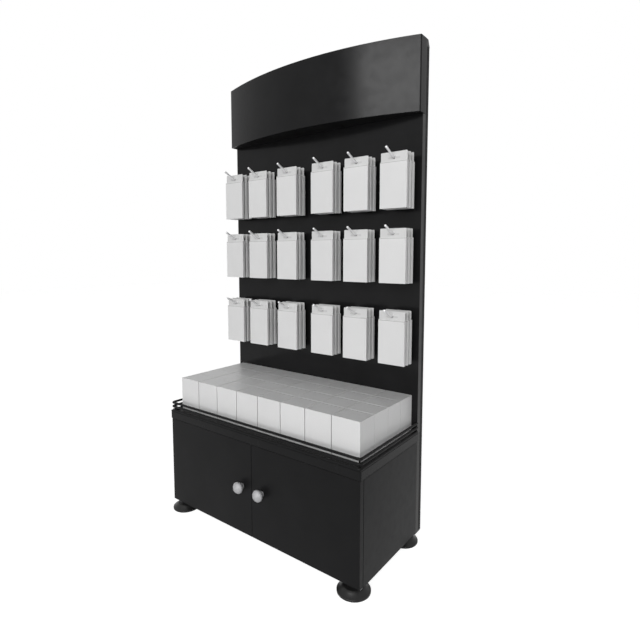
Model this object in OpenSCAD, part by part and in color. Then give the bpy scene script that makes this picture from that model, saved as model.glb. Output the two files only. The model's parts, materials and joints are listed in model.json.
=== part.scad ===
// Hook display stand: a low two-door cabinet on levelling feet, with a gallery rail
// round its counter, and behind it a tall panel with three rows of peg hooks and a
// bow-fronted header. Millimetres, +Z up, +Y from the doors to the back. The origin
// is on the floor, under the middle of the overall box.

/* [Cabinet] */
// Width over the side panels
cabinet_w = 900; // [700:1:1200]
// Height from the underside of the carcase to the top of the counter
cabinet_h = 371; // [320:1:600]
// Depth from the door fronts to the back panel
cabinet_d = 376; // [340:1:500]
// Thickness of the sides, the bottom and the shelf
board_t = 18; // [16:0.5:25]
// Thickness of the cabinet's own back board
cabinet_back_t = 6; // [4:0.5:9]
// Depth of the rebate in each side that takes the back board
back_rebate = 8; // [5:0.5:10]
// Thickness of the counter top
counter_t = 28; // [25:0.5:40]
// Overhang of the counter past the doors and the sides
counter_over = 3; // [1:0.5:10]
// Radius of the counter's front corners
counter_corner_r = 4; // [1:0.5:8]
// Height of the shelf's underside above the bottom board
shelf_rise = 142; // [110:1:190]
// Setback of the shelf from the carcase's front edge
shelf_setback = 22; // [5:1:60]
// Play at each end of the shelf
shelf_play = 1; // [0.5:0.1:3]

/* [Doors] */
// Thickness of the doors
door_t = 18; // [16:0.5:25]
// Joint between the two doors
door_split = 2; // [1:0.5:4]
// Distance of the pivot axis from a door's end and back faces
pivot_inset = 5.5; // [5.5:0.1:7]
// Clear gap left by a door's corner as it swings past the carcase
swing_clear = 0.3; // [0.2:0.1:1]
// Radius of the pivot pins
pivot_pin_r = 2.5; // [2:0.1:3]
// Length of a pivot pin beyond its plate
pivot_pin_l = 12; // [8:0.5:16]
// Thickness of the pivot plates
pivot_plate_t = 2; // [1.5:0.1:3]
// Length of a pivot plate over the side panel
pivot_plate_l = 45; // [35:1:60]
// Wall of the bushes round the pivot pins
bush_wall = 1.45; // [1.2:0.05:1.6]
// Thickness of a bush's flange, which carries the door
bush_flange_t = 0.5; // [0.4:0.1:1]
// Radius of the knobs
knob_r = 20.8; // [14:0.1:25]
// Reach of the knobs in front of the doors
knob_reach = 35; // [32:0.5:38]
// Half the thickness of a knob's round head
knob_half_t = 15; // [11:0.5:15.5]
// Radius of a knob's neck
knob_neck_r = 8.5; // [6:0.5:12]
// Distance of each knob's axis from the centre joint
knob_x = 48.3; // [30:0.1:80]
// Height of the knobs above the carcase's underside
knob_z = 177.5; // [120:0.5:260]

/* [Catches] */
// Width of a magnetic catch
catch_w = 44; // [40:1:60]
// Depth of a magnetic catch
catch_d = 22; // [18:1:30]
// Height of a magnetic catch
catch_h = 14; // [12:0.5:20]
// Distance of a catch's middle from the centre joint
catch_x = 55; // [40:1:120]
// Thickness of the strike plates
strike_t = 1.2; // [0.8:0.1:2]
// Radius of the door buffers
buffer_r = 4; // [3:0.5:6]

/* [Feet] */
// Height of a foot pad, which lifts the carcase off the floor
foot_h = 31.4; // [26:0.1:50]
// Radius of a foot pad at the floor
foot_r = 53.5; // [40:0.5:60]
// Height of the upright rim of a foot pad
foot_rim_h = 7; // [4:0.5:10]
// Radius of a foot pad at the top of its cone
foot_cone_r = 34.5; // [30:0.5:45]
// Radius of the neck between the cone and the carcase
foot_neck_r = 16; // [14:0.5:18]
// Gap between the top of the cone and the level of the panel's bottom edge
foot_panel_gap = 4; // [2:0.5:6]
// Distance of the feet from the carcase's outer faces
foot_inset_x = 40.5; // [38:0.5:120]
// Distance of the front feet from the door fronts
foot_inset_y = 30.6; // [30.6:0.1:80]
// Distance of the rear feet from the back panel
foot_rear_inset = 19.7; // [19:0.1:80]
// Radius of the foot stems
stem_r = 5; // [4:0.5:6]
// Radius of the collar that holds a stem in its pad
stem_collar_r = 9; // [7:0.5:12]
// Height of the stem's collar
stem_collar_h = 4; // [3:0.5:6]
// Radius of the threaded insert's barrel
insert_r = 7; // [6.8:0.1:8]
// Radius of the threaded insert's flange
insert_flange_r = 9.5; // [9:0.1:10]

/* [Gallery rail] */
// Radius of the rail wires
rail_wire_r = 4.5; // [3:0.5:5]
// Gap between the lowest wire and the counter
rail_low_gap = 0.1; // [0.1:0.1:10]
// Distance from the centre of one wire to the next one's
rail_pitch = 15.6; // [12:0.1:30]
// Distance of the front wires' centre from the counter's front edge
rail_front_inset = 4.7; // [4.7:0.1:10]
// Distance of the side wires' centre from the counter's end faces
rail_side_inset = 4.5; // [4.5:0.1:10]
// Gap between the wires' rear ends and the panel
rail_rear_gap = 0.5; // [0.2:0.1:3]
// Radius of the corner posts
post_r = 5; // [3.5:0.1:5.5]
// Distance of the rear posts' axes from the panel
post_rear_inset = 12; // [8:0.5:30]
// Depth of the post tails in the counter
rail_seat = 10; // [6:1:15]

/* [Back panel and frame] */
// Distance of the panel's edges inside the carcase's outer faces
panel_side_inset = 1.4; // [0:0.1:6]
// Thickness of the back panel
panel_t = 23; // [18:0.5:30]
// Height of the panel's bottom edge above the floor
panel_low_z = 25; // [15:0.5:26]
// Height of the panel's top edge above the floor
panel_top_z = 1751.4; // [1700:0.1:2000]
// Depth of the frame behind the panel
frame_d = 21; // [20:0.5:30]
// Width of the uprights and height of the cross rails
tube_w = 40; // [30:1:50]
// Wall of the uprights and the cross rails
tube_wall = 1.5; // [1:0.1:2.5]
// Height of the moulded caps on top of the uprights
cap_top_h = 25; // [15:1:35]
// Height of the caps under the uprights
cap_low_h = 6; // [4:0.5:10]
// Depth of the flat part on top of the upper caps
cap_flat = 10.5; // [6:0.5:15]
// Radius of the screws that hold the panel
panel_screw_r = 2.5; // [2:0.1:3]

/* [Header] */
// Height of the header
header_h = 243.4; // [150:0.1:300]
// Distance of the header's top below the panel's top
header_drop = 4.2; // [0:0.1:30]
// Wall of the header's bent shell
header_wall = 4; // [2:0.5:5]
// Gap between the shell's ends and the panel's edges
header_lap_gap = 0.65; // [0.3:0.05:2]
// Lap of the shell's ends over the panel's edges
header_lap = 6; // [3:0.5:15]
// Reach of the shell's ends in front of the panel
header_end_reach = 28.8; // [20:0.1:60]
// Rise of the bow over the ends, at the middle
header_bow = 73.4; // [30:0.1:120]
// Thickness of the header's top and bottom boards
header_board_t = 12; // [9:0.5:18]
// Recess of the bottom board above the shell's lower edge
header_recess = 2; // [0.5:0.5:10]
// Depth of the battens that carry the boards
batten_d = 20; // [16:1:20]
// Height of the battens
batten_h = 30; // [20:1:45]

/* [Hooks] */
// Number of hooks in a row
hook_count = 6; // [2:2:6]
// Distance from the panel's edges to the outer columns
hook_edge_x = 64; // [55:0.5:70]
// Distance from the panel's middle to the nearest columns
hook_first_x = 86.9; // [60:0.1:90]
// Distance by which the second column stands nearer to the left end than its mirror image
hook_stray_x = 9; // [0:0.5:20]
// Height of the top row, as a share of the height between counter and header
hook_top_share = 0.8662; // [0.85:0.0001:0.88]
// Height of the middle row, as the same share
hook_mid_share = 0.6374; // [0.6:0.0001:0.65]
// Height of the bottom row, as the same share
hook_low_share = 0.3827; // [0.36:0.0001:0.39]
// Radius of a hook's rod
hook_r = 4; // [3:0.1:5]
// Radius of a hook's threaded tail
hook_tail_r = 3; // [2.5:0.1:4]
// Length of a hook's straight part, from the panel to the bend
hook_straight = 86; // [70:1:200]
// Run of a hook's upturned end, measured level
hook_tip_run = 47.5; // [20:0.5:60]
// Angle of a hook's upturned end
hook_tip_angle = 28; // [10:1:45]
// Radius of the bend, at the rod's centre
hook_bend_r = 12; // [8:0.5:20]
// Radius of the collar that seats a hook on the panel
hook_collar_r = 8; // [6:0.5:12]
// Thickness of the collar
hook_collar_t = 2.5; // [1.5:0.5:5]
// Thickness of the washers behind the panel
washer_t = 1.5; // [1:0.1:2]
// Width across the corners of the hook nuts
nut_corner_w = 11.5; // [10:0.1:14]
// Thickness of the hook nuts
nut_t = 5; // [4:0.1:7]

/* [Hang packs] */
// Width of a pack's body
pack_w = 100.5; // [60:0.5:110]
// Depth of a pack's body
pack_d = 11; // [6:0.5:20]
// Height of a pack's body
pack_h = 154.6; // [100:0.1:158]
// Radius of a pack's upright edges
pack_edge_r = 1.2; // [0.5:0.1:3]
// Inset of the hang tab from the body's sides
tab_side_inset = 0.3; // [0:0.1:20]
// Height of the hang tab above the body
tab_h = 31; // [26:0.5:40]
// Thickness of the hang tab
tab_t = 1.2; // [0.6:0.1:2]
// Setback of the tab's front from the body's front
tab_setback = 5; // [0.5:0.1:9]
// Radius of the tab's upper corners
tab_corner_r = 3; // [1:0.5:6]
// Radius of the hang hole
hang_hole_r = 5; // [4.5:0.1:7]
// Width of the slot that crosses the hang hole
hang_slot_w = 46; // [20:1:60]
// Height of the slot
hang_slot_h = 7; // [4:0.5:9]
// Distance of the slot's middle below the hole's middle
hang_slot_drop = 2; // [0:0.5:3]
// Distance of the rod's centre below the tab's top
hang_drop = 17; // [12:0.5:20]
// Number of packs on each hook
packs_per_hook = 3; // [1:1:3]
// Distance from one pack to the next on a hook
pack_pitch = 22.5; // [21:0.5:25]
// Distance from the panel to the front of the rearmost pack
pack_back_reach = 37.5; // [24:0.5:40]

/* [Cartons] */
// Number of cartons across the counter
carton_cols = 8; // [6:1:12]
// Number of cartons from front to back
carton_rows = 4; // [3:1:6]
// Height of a carton
carton_h = 134; // [60:1:180]
// Room between the cartons and the side wires of the rail
carton_side_room = 16.2; // [15:0.1:60]
// Room between the cartons and the front wires of the rail
carton_front_room = 27; // [15:0.5:120]
// Gap between neighbouring cartons
carton_gap = 0.4; // [0.2:0.1:0.8]

/* [Fits] */
// Radial clearance of the pivot pins and the foot stems
run_fit = 0.05; // [0.02:0.01:0.1]
// Clearance round fixed pins, screws, dowels and inserts
seat_fit = 0.05; // [0.02:0.01:0.1]
// Clearance between flat parts that are let into one another
let_in_fit = 0.1; // [0.05:0.05:0.3]

/* [Hidden] */
$fn = 48;
eps = 0.5;
bow_fn = 720;
hex_fn = 6;

// Levels, from the floor up
z_base = foot_h;
z_floor = z_base + board_t;
z_counter = z_base + cabinet_h;
z_under_counter = z_counter - counter_t;
z_shelf = z_floor + shelf_rise;
z_door_low = z_base + pivot_plate_t + bush_flange_t;
z_door_high = z_under_counter - pivot_plate_t - bush_flange_t;
z_header_top = panel_top_z - header_drop;
z_header_low = z_header_top - header_h;
z_frame_low = panel_low_z + cap_low_h;
z_frame_top = panel_top_z - cap_top_h;
z_foot_cone = panel_low_z - foot_panel_gap;
hook_top_z = z_counter + hook_top_share * (z_header_low - z_counter);
hook_mid_z = z_counter + hook_mid_share * (z_header_low - z_counter);
hook_low_z = z_counter + hook_low_share * (z_header_low - z_counter);

// Depths, from the doors back
overall_back = cabinet_d + panel_t + frame_d;
overall_front = max(foot_r - foot_inset_y, knob_reach, counter_over);
y_door = (overall_front - overall_back) / 2;
carcase_gap = pivot_inset * (sqrt(2) - 1) + swing_clear;
y_door_back = y_door + door_t;
y_carcase = y_door_back + carcase_gap;
y_panel = y_door + cabinet_d;
y_cabinet_back = y_panel - cabinet_back_t;
y_frame = y_panel + panel_t;
y_rear = y_frame + frame_d;
y_pivot = y_door_back - pivot_inset;

// Widths, from the middle out
side_out = cabinet_w / 2;
side_in = side_out - board_t;
x_pivot = side_out - pivot_inset;
counter_half = side_out + counter_over;
panel_half = side_out - panel_side_inset;
header_half = panel_half + header_lap_gap + header_wall;
x_upright = panel_half - tube_w / 2;
upright_in = panel_half - tube_w;

// Spare depth at the blind end of a hole
hole_spare = 1;

// Pivot plates, let into the ends of the side panels
plate_margin = 1.5;
plate_nose = 6;
plate_x0 = side_in;
plate_w = board_t - plate_margin;
plate_y0 = y_pivot - plate_nose;
plate_l = y_carcase + pivot_plate_l - plate_y0;
bush_r = pivot_pin_r + run_fit + bush_wall;
bush_flange_over = 1;
bush_flange_r = bush_r + bush_flange_over;
bush_floor = 1;
bush_l = pivot_pin_l + hole_spare + bush_floor;
plate_screw_r = 1.75;
plate_screw_l = 20;
plate_screw_head_r = 3.3;
plate_screw_shares = [0.3, 0.75];
plate_screw_ys = [for (f = plate_screw_shares) y_carcase + f * pivot_plate_l];

// Joints of the carcase
dowel_r = 4;
dowel_skin = 6;
dowel_in_side = board_t - dowel_skin;
dowel_in_board = 18;
dowel_down = 20;
dowel_up = 12;
dowel_gaps = 2;
dowel_plate_gap = 25;
dowel_end = pivot_plate_l + dowel_plate_gap;
dowel_pitch = (y_cabinet_back - y_carcase - 2 * dowel_end) / dowel_gaps;
dowel_ys = [for (i = [0:dowel_gaps]) y_carcase + dowel_end + i * dowel_pitch];

// Shelf pins and their rows of holes
pin_r = 2.5;
pin_hole_depth = 9;
pin_step = 32;
pin_steps = [-2, -1, 0, 1, 2];
pin_rest_l = 9;
pin_rest_w = 9;
pin_rest_t = 5;
pin_inset = 37;
shelf_back_gap = 2;
shelf_d = y_cabinet_back - shelf_back_gap - y_carcase - shelf_setback;
pin_ys = [y_carcase + shelf_setback + pin_inset, y_cabinet_back - shelf_back_gap - pin_inset];

// Knob profile, measured from the door
knob_foot_t = 2;
knob_rim_r = 9;
knob_head_z = knob_reach - knob_half_t;
knob_rim_x = knob_r - knob_rim_r;
knob_dome_rise = knob_half_t - knob_rim_r;
knob_dome_drop = (pow(knob_rim_x, 2) - pow(knob_dome_rise, 2)) / (2 * knob_dome_rise);
knob_dome_r = knob_dome_drop + knob_half_t;

// Door hardware
knob_screw_r = 2;
knob_screw_in = 12;
screw_head_r = 4;
screw_head_t = 2.4;
strike_w = 32;
strike_h = 12;
strike_screw_r = 1.5;
strike_head_r = strike_screw_r + strike_t - let_in_fit;
strike_screw_l = 10;
strike_z = z_under_counter - catch_h / 2;
buffer_z = z_base + board_t / 2;
buffer_inset = 50;
buffer_xs = [buffer_inset, side_in - buffer_inset];

// Magnetic catches
pole_w = 26;
pole_t = 1.5;
magnet_t = 5;
catch_back_wall = 4;
pole_d = catch_d - catch_back_wall;
pole_reach = carcase_gap - strike_t;
catch_screw_r = 1.6;
catch_screw_l = 14;
catch_screw_dx = (catch_w + pole_w) / 4;
catch_screw_xs = [catch_x - catch_screw_dx, catch_x + catch_screw_dx];
catch_screw_head_t = 2;
catch_screw_y = catch_d / 2;

// Feet
foot_edge_r = 1.5;
foot_xs = side_out - foot_inset_x;
foot_ys = [y_door + foot_inset_y, y_panel - foot_rear_inset];
foot_neck_edge = 1;
stem_low_z = 8;
insert_skin = 2;
insert_l = board_t - insert_skin;
insert_flange_t = 1.5;
stem_top_gap = 0.5;
stem_top_in = insert_l - stem_top_gap;

// Gallery rail
x_rail = counter_half - rail_side_inset;
y_rail = y_door - counter_over + rail_front_inset;
weld_gap = 0.05;
rail_bend_r = post_r + weld_gap + rail_wire_r;
x_post = x_rail - rail_bend_r;
y_post = y_rail + rail_bend_r;
y_post_rear = y_panel - post_rear_inset;
rail_low_z = rail_low_gap + rail_wire_r;
post_edge = 1;
post_top = rail_low_z + 2 * rail_pitch + rail_wire_r + post_edge;
post_tail_step = 1.5;
post_tail_r = post_r - post_tail_step;

// Frame and screws behind the panel
rail_low_share = 0.72;
rail_top_drop = 45;
rail_zs = [
    z_base + rail_low_share * cabinet_h,
    (hook_low_z + hook_mid_z) / 2,
    z_header_top - header_board_t - batten_h - rail_top_drop
];
frame_screw_gaps = 4;
frame_screw_inset = 90;
frame_screw_pitch = (z_frame_top - z_frame_low - 2 * frame_screw_inset) / frame_screw_gaps;
frame_screw_zs = [for (i = [0:frame_screw_gaps]) z_frame_low + frame_screw_inset + i * frame_screw_pitch];
panel_skin = 5;
frame_screw_in = panel_t - panel_skin;
access_hole_r = 6.5;
pan_head_r = 5;
pan_head_t = 3.5;
pan_recess = 1;
cap_plug_h = 12;
cap_heel = 2;
counter_screw_shares = [0.25, 0.75];
counter_screw_xs = [for (f = counter_screw_shares) f * side_in];
cabinet_screw_bite = 45;
cabinet_screw_l = panel_t + cabinet_screw_bite;
batten_screw_bite = 15;
batten_screw_l = panel_t + batten_screw_bite;

// Header
bow_r = (pow(header_half, 2) + pow(header_bow, 2)) / (2 * header_bow);
y_header_end = y_panel - header_end_reach;
y_bow_centre = y_header_end - header_bow + bow_r;
batten_end_gap = 25;
batten_half = header_half - header_wall - batten_end_gap;
z_top_batten = z_header_top - header_board_t - batten_h;
z_low_board = z_header_low + header_recess;
z_low_batten = z_low_board + header_board_t;
batten_screw_shares = [0.3, 0.9];
batten_screw_xs = [for (f = batten_screw_shares) f * batten_half];
header_screw_shift = 30;
header_screw_r = 2;
header_screw_bite = 16;
header_screw_l = header_board_t + header_screw_bite;

// Hooks and what hangs on them
hook_zs = [hook_low_z, hook_mid_z, hook_top_z];
hook_half = hook_count / 2;
hook_pitch = (panel_half - hook_edge_x - hook_first_x) / max(1, hook_half - 1);
pack_side_gap = 1;
hook_stray = max(0, min(hook_stray_x, hook_pitch - pack_w - pack_side_gap));
hook_xs = [
    for (s = [-1, 1], i = [0:hook_half - 1])
        s * (hook_first_x + i * hook_pitch) - (s < 0 && i == hook_half - 2 ? hook_stray : 0)
];
hook_hole_r = hook_tail_r + seat_fit;
hook_tail_over = 2;
hook_tail = panel_t + washer_t + nut_t + hook_tail_over;
hook_tip_l = hook_tip_run / cos(hook_tip_angle) - hook_bend_r * tan(hook_tip_angle / 2) - hook_r;
tab_w = pack_w - 2 * tab_side_inset;
hang_gap = 0.1;
hang_hole_drop = hang_drop + hang_hole_r - hook_r - hang_gap;

// Cartons, which share the room inside the gallery rail
carton_step_x = (2 * (x_rail - rail_wire_r - carton_side_room) + carton_gap) / carton_cols;
carton_step_y = (y_panel - y_rail - rail_wire_r - carton_front_room + carton_gap) / carton_rows;
carton_w = carton_step_x - carton_gap;
carton_d = carton_step_y - carton_gap;

// A cylinder from a point, along +X
module rod_x(r, l) {
    rotate([0, 90, 0])
        cylinder(r = r, h = l);
}

// A cylinder from a point, along +Y
module rod_y(r, l) {
    rotate([-90, 0, 0])
        cylinder(r = r, h = l);
}

// The same piece on both sides of the middle
module both_sides() {
    children();
    mirror([1, 0, 0])
        children();
}

// A flat head screw that points along +Z, with the head's face at z = 0
module sunk_screw(r, head_r, l) {
    cylinder(r1 = head_r, r2 = r, h = head_r - r);
    cylinder(r = r, h = l);
}

// A pan head screw that points towards -Y, with the head's seat at y = 0
module pan_screw_back(r, l) {
    translate([0, -l, 0])
        rod_y(r, l + eps);
    difference() {
        rod_y(pan_head_r, pan_head_t);
        translate([0, pan_head_t - pan_recess, 0])
            rod_y(r, pan_recess + eps);
    }
}

// A rectangle with round corners at the ends that are named
module round_plate(w, h, r, low = true) {
    translate([-w / 2 + r, 0])
        square([w - 2 * r, h]);
    translate([-w / 2, low ? r : 0])
        square([w, low ? h - 2 * r : h - r]);
    for (x = [-w / 2 + r, w / 2 - r]) {
        translate([x, h - r])
            circle(r = r);
        if (low)
            translate([x, r])
                circle(r = r);
    }
}

module pivot_plate_cut(z0, h) {
    translate([plate_x0 - eps, plate_y0 - let_in_fit, z0])
        cube([plate_w + eps + let_in_fit, plate_l + 2 * let_in_fit, h]);
}

// The right side panel; the left one is its mirror image
module side_panel() {
    d = y_panel - y_carcase;
    h = z_under_counter - z_base;
    color("#2c2c2e")
        difference() {
            translate([side_in, y_carcase, z_base])
                cube([board_t, d, h]);
            translate([side_in - eps, y_cabinet_back, z_base - eps])
                cube([back_rebate + eps, cabinet_back_t + eps, h + 2 * eps]);
            pivot_plate_cut(z_base - eps, pivot_plate_t + eps);
            pivot_plate_cut(z_under_counter - pivot_plate_t, pivot_plate_t + eps);
            for (y = plate_screw_ys) {
                translate([plate_x0 + plate_w / 2, y, z_base])
                    cylinder(r = plate_screw_r + seat_fit, h = plate_screw_l + hole_spare);
                translate([plate_x0 + plate_w / 2, y, z_under_counter - plate_screw_l - hole_spare])
                    cylinder(r = plate_screw_r + seat_fit, h = plate_screw_l + hole_spare);
            }
            for (y = dowel_ys) {
                translate([side_in - eps, y, z_base + board_t / 2])
                    rod_x(dowel_r + seat_fit, dowel_in_side + eps + seat_fit);
                translate([side_in + board_t / 2, y, z_under_counter - dowel_down - seat_fit])
                    cylinder(r = dowel_r + seat_fit, h = dowel_down + seat_fit + eps);
            }
            for (y = pin_ys, s = pin_steps)
                translate([side_in - eps, y, z_shelf - pin_rest_t / 2 + s * pin_step])
                    rod_x(pin_r + seat_fit, pin_hole_depth + eps + seat_fit);
        }
}

module side_right() {
    side_panel();
}

module side_left() {
    mirror([1, 0, 0])
        side_panel();
}

module bottom_board() {
    color("#2c2c2e")
        difference() {
            translate([-side_in, y_carcase, z_base])
                cube([2 * side_in, y_cabinet_back - y_carcase, board_t]);
            both_sides() {
                for (y = dowel_ys)
                    translate([side_in - dowel_in_board - seat_fit, y, z_base + board_t / 2])
                        rod_x(dowel_r + seat_fit, dowel_in_board + seat_fit + eps);
                for (y = foot_ys)
                    translate([foot_xs, y, z_base - eps]) {
                        cylinder(r = insert_r + seat_fit, h = insert_l + seat_fit + eps);
                        cylinder(r = insert_flange_r + seat_fit, h = insert_flange_t + eps);
                    }
                translate([counter_screw_xs[1], y_cabinet_back, z_base + board_t / 2])
                    mirror([0, 1, 0])
                        rod_y(panel_screw_r + seat_fit, cabinet_screw_bite - cabinet_back_t + hole_spare);
            }
        }
}

module cabinet_back() {
    w = 2 * (side_in + back_rebate - let_in_fit);
    color("#3a3a3c")
        difference() {
            translate([-w / 2, y_cabinet_back, z_base])
                cube([w, cabinet_back_t, z_under_counter - z_base]);
            both_sides()
                translate([counter_screw_xs[1], y_cabinet_back - eps, z_base + board_t / 2])
                    rod_y(panel_screw_r + seat_fit, cabinet_back_t + 2 * eps);
        }
}

module counter_top() {
    y0 = y_door - counter_over;
    r = counter_corner_r;
    color("#1c1c1e")
        difference() {
            translate([0, 0, z_under_counter])
                linear_extrude(height = counter_t) {
                    translate([-counter_half, y0 + r])
                        square([2 * counter_half, y_panel - y0 - r]);
                    translate([-counter_half + r, y0])
                        square([2 * (counter_half - r), r + eps]);
                    for (x = [-counter_half + r, counter_half - r])
                        translate([x, y0 + r])
                            circle(r = r);
                }
            both_sides() {
                for (y = [y_post, y_post_rear])
                    translate([x_post, y, z_counter - rail_seat - seat_fit])
                        cylinder(r = post_tail_r + seat_fit, h = rail_seat + seat_fit + eps);
                for (y = dowel_ys)
                    translate([side_in + board_t / 2, y, z_under_counter - eps])
                        cylinder(r = dowel_r + seat_fit, h = dowel_up + eps + seat_fit);
                for (x = catch_screw_xs)
                    translate([x, y_carcase + catch_screw_y, z_under_counter - eps])
                        cylinder(r = catch_screw_r + seat_fit, h = catch_screw_l + eps);
                for (x = counter_screw_xs)
                    translate([x, y_panel + eps, z_counter - counter_t / 2])
                        mirror([0, 1, 0])
                            rod_y(panel_screw_r + seat_fit, cabinet_screw_bite + hole_spare + eps);
            }
        }
}

module inner_shelf() {
    w = 2 * (side_in - shelf_play);
    color("#2c2c2e")
        translate([-w / 2, y_carcase + shelf_setback, z_shelf])
            cube([w, shelf_d, board_t]);
}

// A peg in the side panel, with a flat rest under the shelf
module shelf_pins() {
    color("silver")
        both_sides()
            for (y = pin_ys) {
                translate([side_in - eps, y, z_shelf - pin_rest_t / 2])
                    rod_x(pin_r, pin_hole_depth + eps);
                translate([side_in - pin_rest_l, y - pin_rest_w / 2, z_shelf - pin_rest_t])
                    cube([pin_rest_l, pin_rest_w, pin_rest_t]);
            }
}

module carcase_dowels() {
    color("burlywood")
        both_sides()
            for (y = dowel_ys) {
                translate([side_in - dowel_in_board, y, z_base + board_t / 2])
                    rod_x(dowel_r, dowel_in_board + dowel_in_side);
                translate([side_in + board_t / 2, y, z_under_counter - dowel_down])
                    cylinder(r = dowel_r, h = dowel_down + dowel_up);
            }
}

module foot_inserts() {
    color("silver")
        both_sides()
            for (y = foot_ys)
                translate([foot_xs, y, z_base])
                    difference() {
                        union() {
                            cylinder(r = insert_r, h = insert_l);
                            cylinder(r = insert_flange_r, h = insert_flange_t);
                        }
                        translate([0, 0, -eps])
                            cylinder(r = stem_r + run_fit, h = insert_l + 2 * eps);
                    }
}

// A plate at z = 0 with its pin pointing up, at the right side
module pivot_plate() {
    difference() {
        union() {
            translate([plate_x0, plate_y0, 0])
                cube([plate_w, plate_l, pivot_plate_t]);
            translate([x_pivot, y_pivot, 0])
                cylinder(r = pivot_pin_r, h = pivot_plate_t + pivot_pin_l);
        }
        for (y = plate_screw_ys)
            translate([plate_x0 + plate_w / 2, y, -seat_fit])
                sunk_screw(plate_screw_r + seat_fit, plate_screw_head_r + seat_fit, plate_screw_l);
    }
}

module pivot_plates() {
    color("silver") {
        translate([0, 0, z_base])
            pivot_plate();
        translate([0, 0, z_under_counter])
            mirror([0, 0, 1])
                pivot_plate();
    }
}

module pivot_plates_right() {
    pivot_plates();
}

module pivot_plates_left() {
    mirror([1, 0, 0])
        pivot_plates();
}

module pivot_screws() {
    color("gray")
        both_sides()
            for (y = plate_screw_ys) {
                translate([plate_x0 + plate_w / 2, y, z_base])
                    sunk_screw(plate_screw_r, plate_screw_head_r, plate_screw_l);
                translate([plate_x0 + plate_w / 2, y, z_under_counter])
                    mirror([0, 0, 1])
                        sunk_screw(plate_screw_r, plate_screw_head_r, plate_screw_l);
            }
}

// Stack of pole, magnet and pole, as a block that sits in a catch
module catch_stack(grow, reach) {
    h = 2 * pole_t + magnet_t + 2 * grow;
    translate([catch_x - pole_w / 2 - grow, y_carcase - reach, strike_z - h / 2])
        cube([pole_w + 2 * grow, pole_d + reach + grow, h]);
}

module catch_bodies() {
    color("#e0e0dc")
        both_sides()
            difference() {
                translate([catch_x - catch_w / 2, y_carcase, z_under_counter - catch_h])
                    cube([catch_w, catch_d, catch_h]);
                catch_stack(let_in_fit, eps);
                for (x = catch_screw_xs)
                    translate([x, y_carcase + catch_screw_y, z_under_counter - catch_h])
                        translate([0, 0, -eps])
                            cylinder(r = catch_screw_r + seat_fit, h = catch_h + 2 * eps);
            }
}

module catch_magnets() {
    both_sides() {
        for (z = [strike_z - magnet_t / 2 - pole_t, strike_z + magnet_t / 2])
            color("silver")
                translate([catch_x - pole_w / 2, y_carcase - pole_reach, z])
                    cube([pole_w, pole_d + pole_reach, pole_t]);
        color("#4a4a4c")
            translate([catch_x - pole_w / 2, y_carcase, strike_z - magnet_t / 2])
                cube([pole_w, pole_d, magnet_t]);
    }
}

module catch_screws() {
    color("gray")
        both_sides()
            for (x = catch_screw_xs)
                translate([x, y_carcase + catch_screw_y, z_under_counter - catch_h]) {
                    cylinder(r = catch_screw_r, h = catch_h + catch_screw_l - hole_spare);
                    translate([0, 0, -catch_screw_head_t])
                        cylinder(r = 2 * catch_screw_r, h = catch_screw_head_t);
                }
}

// One wire: two legs along the sides, two bends round the front posts, one front run
module gallery_wire(z) {
    leg = y_panel - rail_rear_gap - y_post;
    color("#1e1e20")
        translate([0, 0, z_counter + z]) {
            translate([-x_post, y_rail, 0])
                rod_x(rail_wire_r, 2 * x_post);
            both_sides() {
                translate([x_rail, y_post, 0])
                    rod_y(rail_wire_r, leg);
                translate([x_post, y_post, 0])
                    rotate([0, 0, -90])
                        rotate_extrude(angle = 90)
                            translate([rail_bend_r, 0])
                                circle(r = rail_wire_r);
            }
        }
}

module gallery_wire_lower() {
    gallery_wire(rail_low_z);
}

module gallery_wire_middle() {
    gallery_wire(rail_low_z + rail_pitch);
}

module gallery_wire_upper() {
    gallery_wire(rail_low_z + 2 * rail_pitch);
}

module gallery_posts() {
    color("#1e1e20")
        both_sides()
            for (y = [y_post, y_post_rear])
                translate([x_post, y, z_counter]) {
                    cylinder(r = post_r, h = post_top - post_edge);
                    translate([0, 0, post_top - post_edge])
                        cylinder(r1 = post_r, r2 = post_r - post_edge, h = post_edge);
                    translate([0, 0, -rail_seat])
                        cylinder(r = post_tail_r, h = rail_seat + eps);
                }
}

module back_panel() {
    color("#2a2a2c")
        difference() {
            translate([-panel_half, y_panel, panel_low_z])
                cube([2 * panel_half, panel_t, panel_top_z - panel_low_z]);
            for (x = hook_xs, z = hook_zs)
                translate([x, y_panel - eps, z])
                    rod_y(hook_hole_r, panel_t + 2 * eps);
            both_sides() {
                for (z = frame_screw_zs)
                    translate([x_upright, y_frame + eps, z])
                        mirror([0, 1, 0])
                            rod_y(panel_screw_r + seat_fit, frame_screw_in + hole_spare + eps);
                panel_screw_places()
                    translate([0, eps, 0])
                        mirror([0, 1, 0])
                            rod_y(panel_screw_r + seat_fit, panel_t + 2 * eps);
            }
        }
}

// Puts its child at each screw behind the panel, on the right side
module panel_screw_places() {
    for (x = counter_screw_xs)
        translate([x, y_frame, z_counter - counter_t / 2])
            children();
    translate([counter_screw_xs[1], y_frame, z_base + board_t / 2])
        children();
    batten_screw_places()
        children();
}

// Puts its child at each screw behind the header's battens, on the right side
module batten_screw_places() {
    for (x = batten_screw_xs, z = [z_top_batten, z_low_batten])
        translate([x, y_frame, z + batten_h / 2])
            children();
}

module panel_screws() {
    color("gray")
        both_sides() {
            for (x = counter_screw_xs)
                translate([x, y_frame, z_counter - counter_t / 2])
                    pan_screw_back(panel_screw_r, cabinet_screw_l);
            translate([counter_screw_xs[1], y_frame, z_base + board_t / 2])
                pan_screw_back(panel_screw_r, cabinet_screw_l);
            batten_screw_places()
                pan_screw_back(panel_screw_r, batten_screw_l);
        }
}

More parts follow.
